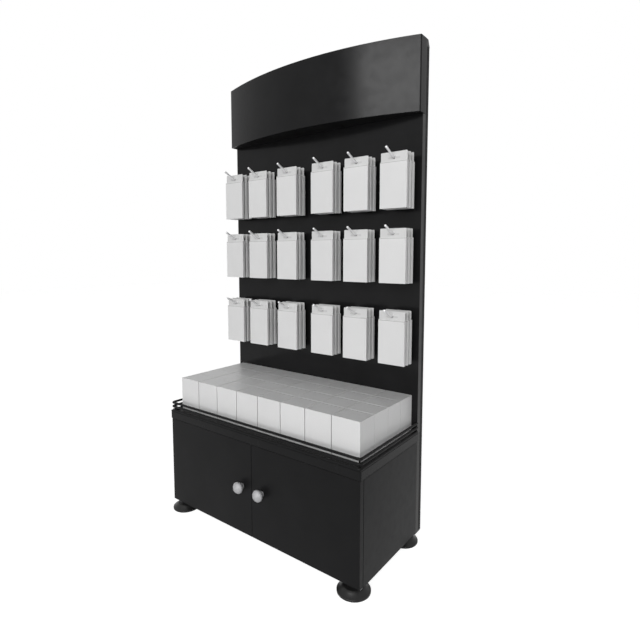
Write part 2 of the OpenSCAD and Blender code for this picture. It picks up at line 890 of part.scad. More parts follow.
// A rectangular tube along +Z, its middle on the axis and its front at y = 0
module tube(w, d, l) {
    difference() {
        translate([-w / 2, 0, 0])
            cube([w, d, l]);
        translate([-w / 2 + tube_wall, tube_wall, -eps])
            cube([w - 2 * tube_wall, d - 2 * tube_wall, l + 2 * eps]);
    }
}

module upright() {
    color("#3c3c3e")
        difference() {
            translate([x_upright, y_frame, z_frame_low])
                tube(tube_w, frame_d, z_frame_top - z_frame_low);
            for (z = frame_screw_zs) {
                translate([x_upright, y_frame - eps, z])
                    rod_y(panel_screw_r + seat_fit, tube_wall + 2 * eps);
                translate([x_upright, y_rear - tube_wall - eps, z])
                    rod_y(access_hole_r, tube_wall + 2 * eps);
            }
        }
}

module upright_right() {
    upright();
}

module upright_left() {
    mirror([1, 0, 0])
        upright();
}

module cross_rails() {
    color("#3c3c3e")
        for (z = rail_zs)
            translate([-upright_in, y_frame, z])
                rotate([90, 0, 90])
                    linear_extrude(height = 2 * upright_in)
                        difference() {
                            translate([0, -tube_w / 2])
                                square([frame_d, tube_w]);
                            translate([tube_wall, -tube_w / 2 + tube_wall])
                                square([frame_d - 2 * tube_wall, tube_w - 2 * tube_wall]);
                        }
}

// Side outline of a cap, extruded across the upright
module cap_block(points) {
    translate([x_upright - tube_w / 2, y_frame, 0])
        rotate([90, 0, 90])
            linear_extrude(height = tube_w)
                polygon(points);
}

module cap_plug(z0) {
    inset = tube_wall + let_in_fit;
    translate([x_upright - tube_w / 2 + inset, y_frame + inset, z0])
        cube([tube_w - 2 * inset, frame_d - 2 * inset, cap_plug_h + eps]);
}

module upright_caps() {
    color("#202022")
        both_sides() {
            cap_block([
                [0, z_frame_top],
                [frame_d, z_frame_top],
                [frame_d, z_frame_top + cap_heel],
                [cap_flat, panel_top_z],
                [0, panel_top_z]
            ]);
            cap_plug(z_frame_top - cap_plug_h);
            cap_block([
                [0, panel_low_z],
                [frame_d - cap_low_h + cap_heel, panel_low_z],
                [frame_d, z_frame_low - cap_heel],
                [frame_d, z_frame_low],
                [0, z_frame_low]
            ]);
            cap_plug(z_frame_low - eps);
        }
}

module frame_screws() {
    color("gray")
        both_sides()
            for (z = frame_screw_zs)
                translate([x_upright, y_frame + tube_wall, z])
                    pan_screw_back(panel_screw_r, tube_wall + frame_screw_in);
}

// Plan of the header, drawn in by the given amount
module header_plan(inset, y_back) {
    half = header_half - inset;
    y0 = y_header_end - header_bow - eps;
    intersection() {
        translate([0, y_bow_centre])
            circle(r = bow_r - inset, $fn = bow_fn);
        translate([-half, y0])
            square([2 * half, y_back - y0]);
    }
}

module header_shell() {
    color("#3a3a3c")
        translate([0, 0, z_header_low])
            linear_extrude(height = header_h)
                difference() {
                    header_plan(0, y_panel + header_lap);
                    header_plan(header_wall, y_panel + header_lap + eps);
                }
}

// A bow-shaped board between the shell and the panel
module header_board(z) {
    difference() {
        translate([0, 0, z])
            linear_extrude(height = header_board_t)
                header_plan(header_wall + let_in_fit, y_panel);
        header_screw_places(z)
            translate([0, 0, -eps])
                cylinder(r = header_screw_r + seat_fit, h = header_board_t + 2 * eps);
    }
}

module header_screw_places(z) {
    for (s = [-1, 1], x = batten_screw_xs)
        translate([s * (x - header_screw_shift), y_panel - batten_d / 2, z])
            children();
}

module header_top_board() {
    color("#2a2a2c")
        header_board(z_header_top - header_board_t);
}

module header_bottom_board() {
    color("#2a2a2c")
        header_board(z_low_board);
}

module header_battens() {
    hole_l = header_screw_bite + hole_spare;
    color("burlywood")
        difference() {
            for (z = [z_top_batten, z_low_batten])
                translate([-batten_half, y_panel - batten_d, z])
                    cube([2 * batten_half, batten_d, batten_h]);
            header_screw_places(z_header_top - header_board_t - hole_l)
                cylinder(r = header_screw_r + seat_fit, h = hole_l + eps);
            header_screw_places(z_low_batten - eps)
                cylinder(r = header_screw_r + seat_fit, h = hole_l + eps);
            both_sides()
                batten_screw_places()
                    translate([0, -panel_t + eps, 0])
                        mirror([0, 1, 0])
                            rod_y(panel_screw_r + seat_fit, batten_screw_bite + hole_spare + eps);
        }
}

// A pan head screw that points up, with the head's seat at z = 0
module board_screw() {
    cylinder(r = header_screw_r, h = header_screw_l);
    translate([0, 0, -header_recess / 2])
        cylinder(r = 2 * header_screw_r, h = header_recess / 2);
}

module header_screws() {
    color("#1e1e20") {
        header_screw_places(z_low_board)
            board_screw();
        header_screw_places(z_header_top)
            mirror([0, 0, 1])
                board_screw();
    }
}

// One hook: threaded tail, collar, straight rod, bend and domed upturned end
module hook() {
    bend_start = hook_straight - hook_bend_r * tan(hook_tip_angle / 2);
    translate([0, -bend_start, 0])
        rod_y(hook_r, bend_start);
    translate([0, -eps, 0])
        rod_y(hook_tail_r, hook_tail + eps);
    translate([0, -hook_collar_t, 0])
        rod_y(hook_collar_r, hook_collar_t);
    translate([0, -bend_start, hook_bend_r])
        rotate([180, 90, 0])
            rotate_extrude(angle = hook_tip_angle)
                translate([hook_bend_r, 0])
                    circle(r = hook_r);
    translate([0, -bend_start, hook_bend_r])
        rotate([-hook_tip_angle, 0, 0])
            translate([0, 0, -hook_bend_r]) {
                rotate([90, 0, 0])
                    cylinder(r = hook_r, h = hook_tip_l);
                translate([0, -hook_tip_l, 0])
                    sphere(r = hook_r);
            }
}

module hook_row(z) {
    color("#d0d0d2")
        for (x = hook_xs)
            translate([x, y_panel, z])
                hook();
}

module hooks_top_row() {
    hook_row(hook_top_z);
}

module hooks_middle_row() {
    hook_row(hook_mid_z);
}

module hooks_bottom_row() {
    hook_row(hook_low_z);
}

module hook_washers() {
    color("silver")
        for (x = hook_xs, z = hook_zs)
            translate([x, y_frame, z])
                difference() {
                    rod_y(hook_collar_r, washer_t);
                    translate([0, -eps, 0])
                        rod_y(hook_hole_r, washer_t + 2 * eps);
                }
}

module hook_nuts() {
    color("gray")
        for (x = hook_xs, z = hook_zs)
            translate([x, y_frame + washer_t, z])
                difference() {
                    rotate([-90, 0, 0])
                        cylinder(r = nut_corner_w / 2, h = nut_t, $fn = hex_fn);
                    translate([0, -eps, 0])
                        rod_y(hook_hole_r, nut_t + 2 * eps);
                }
}

// Outline of the hang hole with the slot that crosses it, centred on the hole
module hang_slot() {
    slot_reach = (hang_slot_w - hang_slot_h) / 2;
    circle(r = hang_hole_r);
    translate([-slot_reach, -hang_slot_drop - hang_slot_h / 2])
        square([2 * slot_reach, hang_slot_h]);
    for (s = [-1, 1])
        translate([s * slot_reach, -hang_slot_drop])
            circle(r = hang_slot_h / 2);
}

// One pack, with the rod's centre at the origin and the body's front at y = 0
module pack() {
    translate([0, 0, hang_drop - tab_h - pack_h])
        linear_extrude(height = pack_h)
            round_plate(pack_w, pack_d, pack_edge_r);
    translate([0, tab_setback + tab_t, hang_drop - tab_h - eps])
        rotate([90, 0, 0])
            linear_extrude(height = tab_t)
                difference() {
                    round_plate(tab_w, tab_h + eps, tab_corner_r, low = false);
                    translate([0, tab_h + eps - hang_hole_drop])
                        hang_slot();
                }
}

module pack_row(z) {
    color("#f2f2f0")
        for (x = hook_xs, i = [0:packs_per_hook - 1])
            translate([x, y_panel - pack_back_reach - i * pack_pitch, z])
                pack();
}

module packs_top_row() {
    pack_row(hook_top_z);
}

module packs_middle_row() {
    pack_row(hook_mid_z);
}

module packs_bottom_row() {
    pack_row(hook_low_z);
}

// Blocks of cartons that stand on the counter against the panel
module cartons() {
    x0 = -(carton_cols * carton_step_x - carton_gap) / 2;
    color("#f4f4f2")
        for (i = [0:carton_cols - 1], j = [0:carton_rows - 1])
            translate([x0 + i * carton_step_x, y_panel - carton_d - j * carton_step_y, z_counter])
                cube([carton_w, carton_d, carton_h]);
}

// The right door; the left one is its mirror image
module door() {
    color("#2c2c2e")
        difference() {
            translate([door_split / 2, y_door, z_door_low])
                cube([side_out - door_split / 2, door_t, z_door_high - z_door_low]);
            translate([x_pivot, y_pivot, z_door_low - eps])
                cylinder(r = bush_r + seat_fit, h = bush_l + seat_fit + eps);
            translate([x_pivot, y_pivot, z_door_high - bush_l - seat_fit])
                cylinder(r = bush_r + seat_fit, h = bush_l + seat_fit + eps);
            translate([knob_x, y_door - eps, z_base + knob_z])
                rod_y(knob_screw_r + seat_fit, door_t + 2 * eps);
            translate([catch_x, y_door_back - strike_screw_l - hole_spare, strike_z])
                rod_y(strike_screw_r + seat_fit, strike_screw_l + hole_spare + eps);
        }
}

module door_right() {
    door();
}

module door_left() {
    mirror([1, 0, 0])
        door();
}

// Half of the section through a knob's round head, on one side of its middle
module knob_head_side() {
    intersection() {
        translate([0, -knob_dome_drop])
            circle(r = knob_dome_r);
        polygon([
            [0, -knob_dome_drop],
            [2 * knob_rim_x, knob_dome_drop],
            [2 * knob_rim_x, knob_dome_drop + knob_dome_r],
            [0, knob_dome_drop + knob_dome_r]
        ]);
    }
    square([knob_rim_x, eps]);
    translate([knob_rim_x, 0])
        circle(r = knob_rim_r);
}

// A turned knob: foot, neck, round head that is flatter than a ball
module knob() {
    color("#c8c8ca")
        translate([knob_x, y_door, z_base + knob_z])
            rotate([90, 0, 0])
                difference() {
                    rotate_extrude($fn = 64)
                        difference() {
                            union() {
                                square([knob_neck_r + knob_foot_t, knob_foot_t]);
                                square([knob_neck_r, knob_head_z]);
                                translate([0, knob_head_z]) {
                                    knob_head_side();
                                    mirror([0, 1])
                                        knob_head_side();
                                }
                            }
                            translate([-knob_r, 0])
                                square([knob_r, knob_reach + eps]);
                        }
                    translate([0, 0, -eps])
                        cylinder(r = knob_screw_r + seat_fit, h = knob_screw_in + hole_spare + eps);
                }
}

module knob_right() {
    knob();
}

module knob_left() {
    mirror([1, 0, 0])
        knob();
}

// Knob screw from inside the door, and the strike plate's screw
module door_screws() {
    color("gray") {
        translate([knob_x, y_door - knob_screw_in, z_base + knob_z])
            rod_y(knob_screw_r, knob_screw_in + door_t + eps);
        translate([knob_x, y_door_back, z_base + knob_z])
            rod_y(screw_head_r, min(screw_head_t, carcase_gap));
        translate([catch_x, y_door_back + strike_t, strike_z])
            rotate([90, 0, 0])
                sunk_screw(strike_screw_r, strike_head_r, strike_screw_l + strike_t);
    }
}

module door_screws_right() {
    door_screws();
}

module door_screws_left() {
    mirror([1, 0, 0])
        door_screws();
}

// A flanged bush with its flange's face at z = 0, pressed up into the door
module bush() {
    difference() {
        union() {
            cylinder(r = bush_flange_r, h = bush_flange_t);
            cylinder(r = bush_r, h = bush_flange_t + bush_l);
        }
        translate([0, 0, -eps])
            cylinder(r = pivot_pin_r + run_fit, h = bush_flange_t + bush_l - bush_floor + eps);
    }
}

module door_bushes() {
    color("#ececea") {
        translate([x_pivot, y_pivot, z_door_low - bush_flange_t])
            bush();
        translate([x_pivot, y_pivot, z_door_high + bush_flange_t])
            mirror([0, 0, 1])
                bush();
    }
}

module door_bushes_right() {
    door_bushes();
}

module door_bushes_left() {
    mirror([1, 0, 0])
        door_bushes();
}

module strike_plate() {
    color("silver")
        difference() {
            translate([catch_x - strike_w / 2, y_door_back, strike_z - strike_h / 2])
                cube([strike_w, strike_t, strike_h]);
            translate([catch_x, y_door_back + strike_t + seat_fit, strike_z])
                rotate([90, 0, 0])
                    sunk_screw(strike_screw_r + seat_fit, strike_head_r + seat_fit, strike_t + hole_spare);
        }
}

module strike_plate_right() {
    strike_plate();
}

module strike_plate_left() {
    mirror([1, 0, 0])
        strike_plate();
}

module door_buffers() {
    color("#18181a")
        for (x = buffer_xs)
            translate([x, y_door_back, buffer_z])
                rod_y(buffer_r, carcase_gap);
}

module door_buffers_right() {
    door_buffers();
}

module door_buffers_left() {
    mirror([1, 0, 0])
        door_buffers();
}

// A foot pad: upright rim, cone, neck, and a closed socket for the stem
module foot_pad() {
    socket_r = stem_collar_r + run_fit;
    color("#262628")
        rotate_extrude($fn = 96)
            difference() {
                polygon([
                    [0, 0],
                    [foot_r - foot_edge_r, 0],
                    [foot_r, foot_edge_r],
                    [foot_r, foot_rim_h - foot_edge_r],
                    [foot_r - foot_edge_r, foot_rim_h],
                    [foot_cone_r, z_foot_cone - foot_edge_r],
                    [foot_cone_r - foot_edge_r, z_foot_cone],
                    [foot_neck_r, z_foot_cone],
                    [foot_neck_r, foot_h - foot_neck_edge],
                    [foot_neck_r - foot_neck_edge, foot_h],
                    [0, foot_h]
                ]);
                translate([-eps, stem_low_z - run_fit])
                    square([socket_r + eps, stem_collar_h + 2 * run_fit]);
                translate([-eps, stem_low_z])
                    square([stem_r + run_fit + eps, foot_h]);
            }
}

module foot_stem() {
    color("silver") {
        translate([0, 0, stem_low_z])
            cylinder(r = stem_r, h = z_base + stem_top_in - stem_low_z);
        translate([0, 0, stem_low_z])
            cylinder(r = stem_collar_r, h = stem_collar_h);
    }
}

module foot_pad_front_left() {
    translate([-foot_xs, foot_ys[0], 0])
        foot_pad();
}

module foot_pad_front_right() {
    translate([foot_xs, foot_ys[0], 0])
        foot_pad();
}

module foot_pad_rear_left() {
    translate([-foot_xs, foot_ys[1], 0])
        foot_pad();
}

module foot_pad_rear_right() {
    translate([foot_xs, foot_ys[1], 0])
        foot_pad();
}

module foot_stem_front_left() {
    translate([-foot_xs, foot_ys[0], 0])
        foot_stem();
}

module foot_stem_front_right() {
    translate([foot_xs, foot_ys[0], 0])
        foot_stem();
}

module foot_stem_rear_left() {
    translate([-foot_xs, foot_ys[1], 0])
        foot_stem();
}

module foot_stem_rear_right() {
    translate([foot_xs, foot_ys[1], 0])
        foot_stem();
}

side_left();
side_right();
bottom_board();
cabinet_back();
counter_top();
inner_shelf();
shelf_pins();
carcase_dowels();
foot_inserts();
pivot_plates_left();
pivot_plates_right();
pivot_screws();
catch_bodies();
catch_magnets();
catch_screws();
gallery_wire_lower();
gallery_wire_middle();
gallery_wire_upper();
gallery_posts();
back_panel();
upright_left();
upright_right();
cross_rails();
upright_caps();
frame_screws();
panel_screws();
header_shell();
header_top_board();
header_bottom_board();
header_battens();
header_screws();
hooks_top_row();
hooks_middle_row();
hooks_bottom_row();
hook_washers();
hook_nuts();
packs_top_row();
packs_middle_row();
packs_bottom_row();
cartons();
door_left();
knob_left();
door_screws_left();
door_bushes_left();
strike_plate_left();
door_buffers_left();
door_right();
knob_right();
door_screws_right();
door_bushes_right();
strike_plate_right();
door_buffers_right();
foot_pad_front_left();
foot_pad_front_right();
foot_pad_rear_left();
foot_pad_rear_right();
foot_stem_front_left();
foot_stem_front_right();
foot_stem_rear_left();
foot_stem_rear_right();
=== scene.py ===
"""Looks of a hook display stand: its finishes, its stock and fine parts, the studio and the camera."""

import json
import logging
import math
from collections.abc import Callable, Iterable, Sequence
from dataclasses import dataclass
from enum import Enum
from functools import reduce
from typing import Any

import bmesh
import bpy
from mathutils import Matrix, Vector

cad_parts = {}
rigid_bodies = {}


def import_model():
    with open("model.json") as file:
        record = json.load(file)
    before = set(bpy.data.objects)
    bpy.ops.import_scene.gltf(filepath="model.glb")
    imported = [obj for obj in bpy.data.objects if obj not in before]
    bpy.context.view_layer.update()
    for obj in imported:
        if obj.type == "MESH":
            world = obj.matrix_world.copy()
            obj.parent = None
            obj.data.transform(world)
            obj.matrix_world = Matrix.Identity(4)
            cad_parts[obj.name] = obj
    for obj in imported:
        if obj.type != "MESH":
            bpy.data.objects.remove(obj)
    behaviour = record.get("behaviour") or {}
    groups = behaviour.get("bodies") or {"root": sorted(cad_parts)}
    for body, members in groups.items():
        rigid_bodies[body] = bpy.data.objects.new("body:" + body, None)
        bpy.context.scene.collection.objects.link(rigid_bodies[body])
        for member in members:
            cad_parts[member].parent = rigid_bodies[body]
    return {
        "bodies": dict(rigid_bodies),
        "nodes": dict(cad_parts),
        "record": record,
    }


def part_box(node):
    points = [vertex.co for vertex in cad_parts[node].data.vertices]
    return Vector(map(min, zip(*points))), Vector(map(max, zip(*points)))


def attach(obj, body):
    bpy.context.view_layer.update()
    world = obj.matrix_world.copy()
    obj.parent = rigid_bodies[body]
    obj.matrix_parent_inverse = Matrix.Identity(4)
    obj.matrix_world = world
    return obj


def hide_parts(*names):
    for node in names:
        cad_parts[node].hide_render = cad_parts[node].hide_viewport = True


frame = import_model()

LOG = logging.getLogger("stand")
MM = 0.001
TOUCH = 0.01 * MM

# Angles in degrees: past which an edge is shaded sharp or rounded, and up to which two faces are one
SHARP_SHADE = 42.0
SHARP_CORNER = 30.0
FLAT = 0.3

Colour = tuple[float, float, float]
Point = tuple[float, float]
Box = tuple[Vector, Vector]


class Side(Enum):
    """The two halves of the stand, seen from the front."""

    LEFT = "left"
    RIGHT = "right"


# Node wiring


def find_socket(sockets: Iterable[Any], key: str | int) -> Any:
    """Finds a socket that is in use.

    Args:
        sockets: The inputs or the outputs of a node.
        key: The socket's name, or its index.

    Returns:
        The first enabled socket of that name, or the one at that index.
    """
    if isinstance(key, int):
        return sockets[key]
    found = [each for each in sockets if each.name == key and each.enabled]
    if not found:
        raise KeyError(f"no socket named {key}")
    return found[0]


class Wiring:
    """Adds nodes to one tree and joins their sockets."""

    def __init__(self, tree: bpy.types.NodeTree) -> None:
        """Keeps the node tree to fill."""
        self.tree = tree

    def add(self, kind: str, inputs: dict[str | int, Any] | None = None, **settings: Any) -> Any:
        """Adds a node.

        Args:
            kind: The node's type name.
            inputs: A value or an output socket for each input named here.
            **settings: The node's own options, set before its inputs.

        Returns:
            The new node.
        """
        node = self.tree.nodes.new(kind)
        for key, value in settings.items():
            setattr(node, key, value)
        for key, value in (inputs or {}).items():
            target = find_socket(node.inputs, key)
            if isinstance(value, bpy.types.NodeSocket):
                self.tree.links.new(value, target)
            else:
                target.default_value = value
        return node

    def out(
        self, kind: str, inputs: dict[str | int, Any] | None = None, pick: str | int = 0, **settings: Any
    ) -> Any:
        """Adds a node, as add does, and gives the output picked by its name or its index."""
        return find_socket(self.add(kind, inputs, **settings).outputs, pick)

    def math(self, operation: str, *values: Any) -> Any:
        """Adds a Math node on numbers or sockets, in the order of its inputs, and gives its output."""
        return self.out("ShaderNodeMath", dict(enumerate(values)), operation=operation)

    def blend(self, factor: Any, first: Any, second: Any) -> Any:
        """Mixes two colours by the share of the second, and gives the output."""
        inputs = {"Factor": factor, "A": first, "B": second}
        return self.out("ShaderNodeMix", inputs, pick="Result", data_type="RGBA")

    def spread(self, value: Any, low: Any, high: Any, start: float = 0.0, end: float = 1.0) -> Any:
        """Maps a value, read from start to end, to the range from low to high, and gives the output."""
        inputs = {"Value": value, "From Min": start, "From Max": end, "To Min": low, "To Max": high}
        return self.out("ShaderNodeMapRange", inputs, pick="Result", clamp=True)

    def around(self, middle: Any, change: Any) -> tuple[Any, Any]:
        """Gives the values that lie a change under and over a middle value."""
        return self.math("SUBTRACT", middle, change), self.math("ADD", middle, change)

    def chain(self, operation: str, *values: Any) -> Any:
        """Joins three or more values by one operation, from the first on."""
        return reduce(lambda one, other: self.math(operation, one, other), values)

    def place(self) -> Any:
        """Gives the place in object coordinates."""
        return self.out("ShaderNodeTexCoord", pick="Object")

    def noise(self, scale: Any, detail: float = 3.0, where: Any = None) -> Any:
        """Adds noise on object coordinates, or on the given ones, and gives its value."""
        inputs = {"Vector": where or self.place(), "Scale": scale, "Detail": detail}
        return self.out("ShaderNodeTexNoise", inputs)

    def mark(self, name: str) -> Any:
        """Reads a value that the mesh carries."""
        return self.out("ShaderNodeAttribute", pick="Fac", attribute_name=name)

    def bump(self, height: Any, depth: Any) -> Any:
        """Turns a height into a normal."""
        return self.out("ShaderNodeBump", {"Height": height, "Distance": depth, "Strength": 1.0})

    def join(self, inputs: Any, **outputs: Any) -> None:
        """Joins output sockets to a node's inputs, named with _ for a space."""
        for key, value in outputs.items():
            self.tree.links.new(value, inputs[key.replace("_", " ")])


def rgba(colour: Colour) -> tuple[float, float, float, float]:
    """Adds full alpha to a colour."""
    return (*colour, 1.0)


# Shader effects that several finishes share

PLAIN = rgba((0.5, 0.5, 0.5))
NOISE_CORE = (0.3, 0.7)


class Effects:
    """The shader node groups, each built once and placed in each finish with its own values."""

    BY_COUNT = {4: "NodeSocketColor", 3: "NodeSocketVector", 1: "NodeSocketFloat"}
    BY_NAME = {"Colour": "NodeSocketColor", "Normal": "NodeSocketVector"}

    def __init__(self) -> None:
        """Builds all the groups."""
        self.mottle = self._mottle()
        self.skin = self._skin()
        self.wear = self._wear()
        self.dust = self._dust()
        self.fibre = self._fibre()
        self.streaks = self._streaks()

    def _group(self, name: str, takes: dict[str, Any], gives: Sequence[str]) -> tuple[Any, Any, Wiring]:
        """Starts a group.

        Args:
            name: The group's name.
            takes: The default of each input: four numbers for a colour, three for a vector, else one.
            gives: The name of each output.

        Returns:
            What the group is given, the inputs of its output node, and its wiring.
        """
        tree = bpy.data.node_groups.new(name, "ShaderNodeTree")
        for label, value in takes.items():
            kind = self.BY_COUNT[len(value) if isinstance(value, tuple) else 1]
            tree.interface.new_socket(name=label, in_out="INPUT", socket_type=kind).default_value = value
        for label in gives:
            kind = self.BY_NAME.get(label, "NodeSocketFloat")
            tree.interface.new_socket(name=label, in_out="OUTPUT", socket_type=kind)
        wires = Wiring(tree)
        return wires.add("NodeGroupInput").outputs, wires.add("NodeGroupOutput").inputs, wires

    def _mottle(self) -> bpy.types.NodeTree:
        """Cloudy change of tone and of roughness, as of a coat put on by hand or by gun.

        Returns:
            The group.
        """
        takes = {"Colour": PLAIN, "Amount": 0.1, "Scale": 20.0, "Roughness": 0.4, "Roughness Change": 0.05}
        given, end, wires = self._group("mottle", takes, ("Colour", "Roughness"))
        cloud = wires.spread(wires.noise(given["Scale"], 5.0), 0.0, 1.0, *NOISE_CORE)
        bright = wires.spread(cloud, *wires.around(1.0, given["Amount"]))
        tone = wires.out("ShaderNodeHueSaturation", {"Value": bright, "Color": given["Colour"]})
        fine = wires.noise(wires.math("MULTIPLY", given["Scale"], 3.7))
        smooth, rough = wires.around(given["Roughness"], given["Roughness Change"])
        wires.join(end, Colour=tone, Roughness=wires.spread(fine, smooth, rough, *NOISE_CORE))
        return wires.tree

    def _skin(self) -> bpy.types.NodeTree:
        """Fine relief of a coat or of a moulded face: soft waves with grit on them.

        Returns:
            The group.
        """
        takes = {"Scale": 350.0, "Wave Depth": 0.02 * MM, "Grit": 0.2}
        given, end, wires = self._group("skin", takes, ("Normal",))
        wave = wires.noise(given["Scale"], 2.0)
        grit = wires.noise(wires.math("MULTIPLY", given["Scale"], 5.0), 1.0)
        height = wires.math("ADD", wave, wires.math("MULTIPLY", grit, given["Grit"]))
        wires.join(end, Normal=wires.bump(height, given["Wave Depth"]))
        return wires.tree

    def _wear(self) -> bpy.types.NodeTree:
        """Rubbed edges, from the edge attribute that softened pieces carry.

        Returns:
            The group.
        """
        takes = {"Colour": PLAIN, "Bare Colour": PLAIN, "Amount": 0.3}
        given, end, wires = self._group("edge_wear", takes, ("Colour",))
        broken = wires.spread(wires.noise(60.0, 4.0), 0.2, 1.0, 0.35, 0.7)
        mask = wires.chain("MULTIPLY", wires.mark("edge"), broken, given["Amount"])
        wires.join(end, Colour=wires.blend(mask, given["Colour"], given["Bare Colour"]))
        return wires.tree

    def _dust(self) -> bpy.types.NodeTree:
        """A thin grey bloom that settles on faces that look up.

        Returns:
            The group.
        """
        grey = rgba((0.45, 0.44, 0.42))
        takes = {"Colour": PLAIN, "Roughness": 0.4, "Dust Colour": grey, "Amount": 0.05}
        given, end, wires = self._group("settled_dust", takes, ("Colour", "Roughness"))
        normal = wires.out("ShaderNodeNewGeometry", pick="Normal")
        up = wires.out("ShaderNodeSeparateXYZ", {0: normal}, pick="Z")
        flat = wires.spread(up, 0.0, 1.0, 0.55, 0.95)
        patch = wires.spread(wires.noise(35.0, 6.0), 0.3, 1.0, *NOISE_CORE)
        mask = wires.chain("MULTIPLY", flat, patch, given["Amount"])
        tone = wires.blend(mask, given["Colour"], given["Dust Colour"])
        wires.join(end, Colour=tone, Roughness=wires.math("ADD", given["Roughness"], mask))
        return wires.tree

    def _fibre(self) -> bpy.types.NodeTree:
        """Card: short fibres under a thin coat, its own tone for each item, a change on edges, and painted
        shade.

        Returns:
            The group.
        """
        takes = {
            "Colour": rgba((0.8, 0.8, 0.8)),
            "Fibre Amount": 0.02,
            "Item Amount": 0.03,
            "Edge Amount": 0.06,
            "Uncoated": rgba((0.3, 0.3, 0.3)),
            "Depth": 0.01 * MM,
        }
        given, end, wires = self._group("card_fibre", takes, ("Colour", "Normal"))
        where = wires.place()
        layers = []
        for stretch in ((900.0, 900.0, 220.0), (260.0, 800.0, 800.0)):
            drawn = wires.out("ShaderNodeMapping", {"Vector": where, "Scale": stretch})
            layers.append(wires.noise(1.0, 3.0, drawn))
        fibres = wires.math("MULTIPLY", *layers)
        fleck = wires.spread(fibres, 0.0, given["Fibre Amount"], 0.1, 0.4)
        item = wires.math("MULTIPLY", wires.mark("item"), given["Item Amount"])
        # A negative amount lightens the edges as a painted highlight; a positive one darkens them.
        edge = wires.math("MULTIPLY", wires.mark("edge"), given["Edge Amount"])
        bright = wires.math("SUBTRACT", 1.0, wires.chain("ADD", fleck, item, edge))
        tone = wires.out("ShaderNodeHueSaturation", {"Value": bright, "Color": given["Colour"]})
        # Painted shade: faces that the mesh marks are blended towards the shadow colour.
        tone = wires.blend(wires.mark("uncoated"), tone, given["Uncoated"])
        wires.join(end, Colour=tone, Normal=wires.bump(fibres, given["Depth"]))
        return wires.tree

    def _streaks(self) -> bpy.types.NodeTree:
        """Lines drawn out along one axis, as of drawn wire, planed wood or a lathe tool.

        Returns:
            The group.
        """
        takes = {"Vector": (0.0, 0.0, 0.0), "Stretch": (1.0, 1.0, 1.0), "Depth": 0.01 * MM}
        given, end, wires = self._group("streaks", takes, ("Value", "Normal"))
        inputs = {0: given["Vector"], 1: given["Stretch"]}
        drawn = wires.out("ShaderNodeVectorMath", inputs, operation="MULTIPLY")
        value = wires.noise(1.0, 4.0, drawn)
        wires.join(end, Value=value, Normal=wires.bump(value, given["Depth"]))
        return wires.tree


# Finishes


class Coating(Wiring):
    """The wiring of one material, with the inputs of its shader and the shared node groups."""

    def __init__(self, material: bpy.types.Material, effects: Effects) -> None:
        """Takes a material up.

        Args:
            material: The material, with its nodes in use.
            effects: The shared node groups.
        """
        super().__init__(material.node_tree)
        self.shader = material.node_tree.nodes["Principled BSDF"].inputs
        self.effects = effects

    def put(self, tree: bpy.types.NodeTree, **inputs: Any) -> Any:
        """Puts a shared group in, its inputs named with _ for a space, and gives its outputs."""
        named = {key.replace("_", " "): value for key, value in inputs.items()}
        return self.add("ShaderNodeGroup", named, node_tree=tree).outputs

    def finish(self, tone: Any, rough: Any, normal: Any) -> None:
        """Joins a colour, a roughness and a normal to the shader."""
        self.join(self.shader, Base_Color=tone, Roughness=rough, Normal=normal)


@dataclass(frozen=True)
class Finish:
    """What every finish has: its slot in the record, its colour, how it shines and how both change."""

    slot: str
    colour: Colour
    roughness: float
    specular: float = 0.5
    metallic: float = 0.0
    mottle: float = 0.12
    mottle_scale: float = 9.0
    shine_change: float = 0.04

    def build(self, effects: Effects) -> bpy.types.Material:
        """Makes the material.

        Args:
            effects: The shared node groups.

        Returns:
            The material, with all its nodes joined.
        """
        material = bpy.data.materials.new(self.slot + "_finish")
        material.use_nodes = True
        material.diffuse_color = rgba(self.colour)
        work = Coating(material, effects)
        work.shader["Specular IOR Level"].default_value = self.specular
        work.shader["Metallic"].default_value = self.metallic
        self.dress(work)
        return material

    def coat(self, work: Coating, colour: Any = None) -> Any:
        """Puts in clouds of tone and of shine.

        Args:
            work: The wiring of the material.
            colour: The colour under them, or none for the finish's own.

        Returns:
            The outputs of the group node.
        """
        return work.put(
            work.effects.mottle,
            Colour=colour or rgba(self.colour),
            Amount=self.mottle,
            Scale=self.mottle_scale,
            Roughness=self.roughness,
            Roughness_Change=self.shine_change,
        )

    def dress(self, work: Coating) -> None:
        """Joins this finish's nodes to the shader of the material that is wired."""
        raise NotImplementedError


@dataclass(frozen=True)
class Lacquer(Finish):
    """Sprayed lacquer or coated sheet: soft waves, faint clouds, dust and rubbed edges."""

    wave_scale: float = 260.0
    wave_depth: float = 0.02 * MM
    grit: float = 0.1
    wear: float = 0.25
    bare: Colour = (0.10, 0.10, 0.10)
    dust: float = 0.03

    def dress(self, work: Coating) -> None:
        """Layers clouds, wear and dust, and gives the coat its waves.

        Args:
            work: The wiring of the material.
        """
        base = self.coat(work)
        bare = rgba(self.bare)
        worn = work.put(work.effects.wear, Colour=base["Colour"], Bare_Colour=bare, Amount=self.wear)
        under = {"Colour": worn["Colour"], "Roughness": base["Roughness"]}
        top = work.put(work.effects.dust, **under, Amount=self.dust)
        waves = {"Scale": self.wave_scale, "Wave_Depth": self.wave_depth}
        skin = work.put(work.effects.skin, **waves, Grit=self.grit)
        work.finish(top["Colour"], top["Roughness"], skin["Normal"])


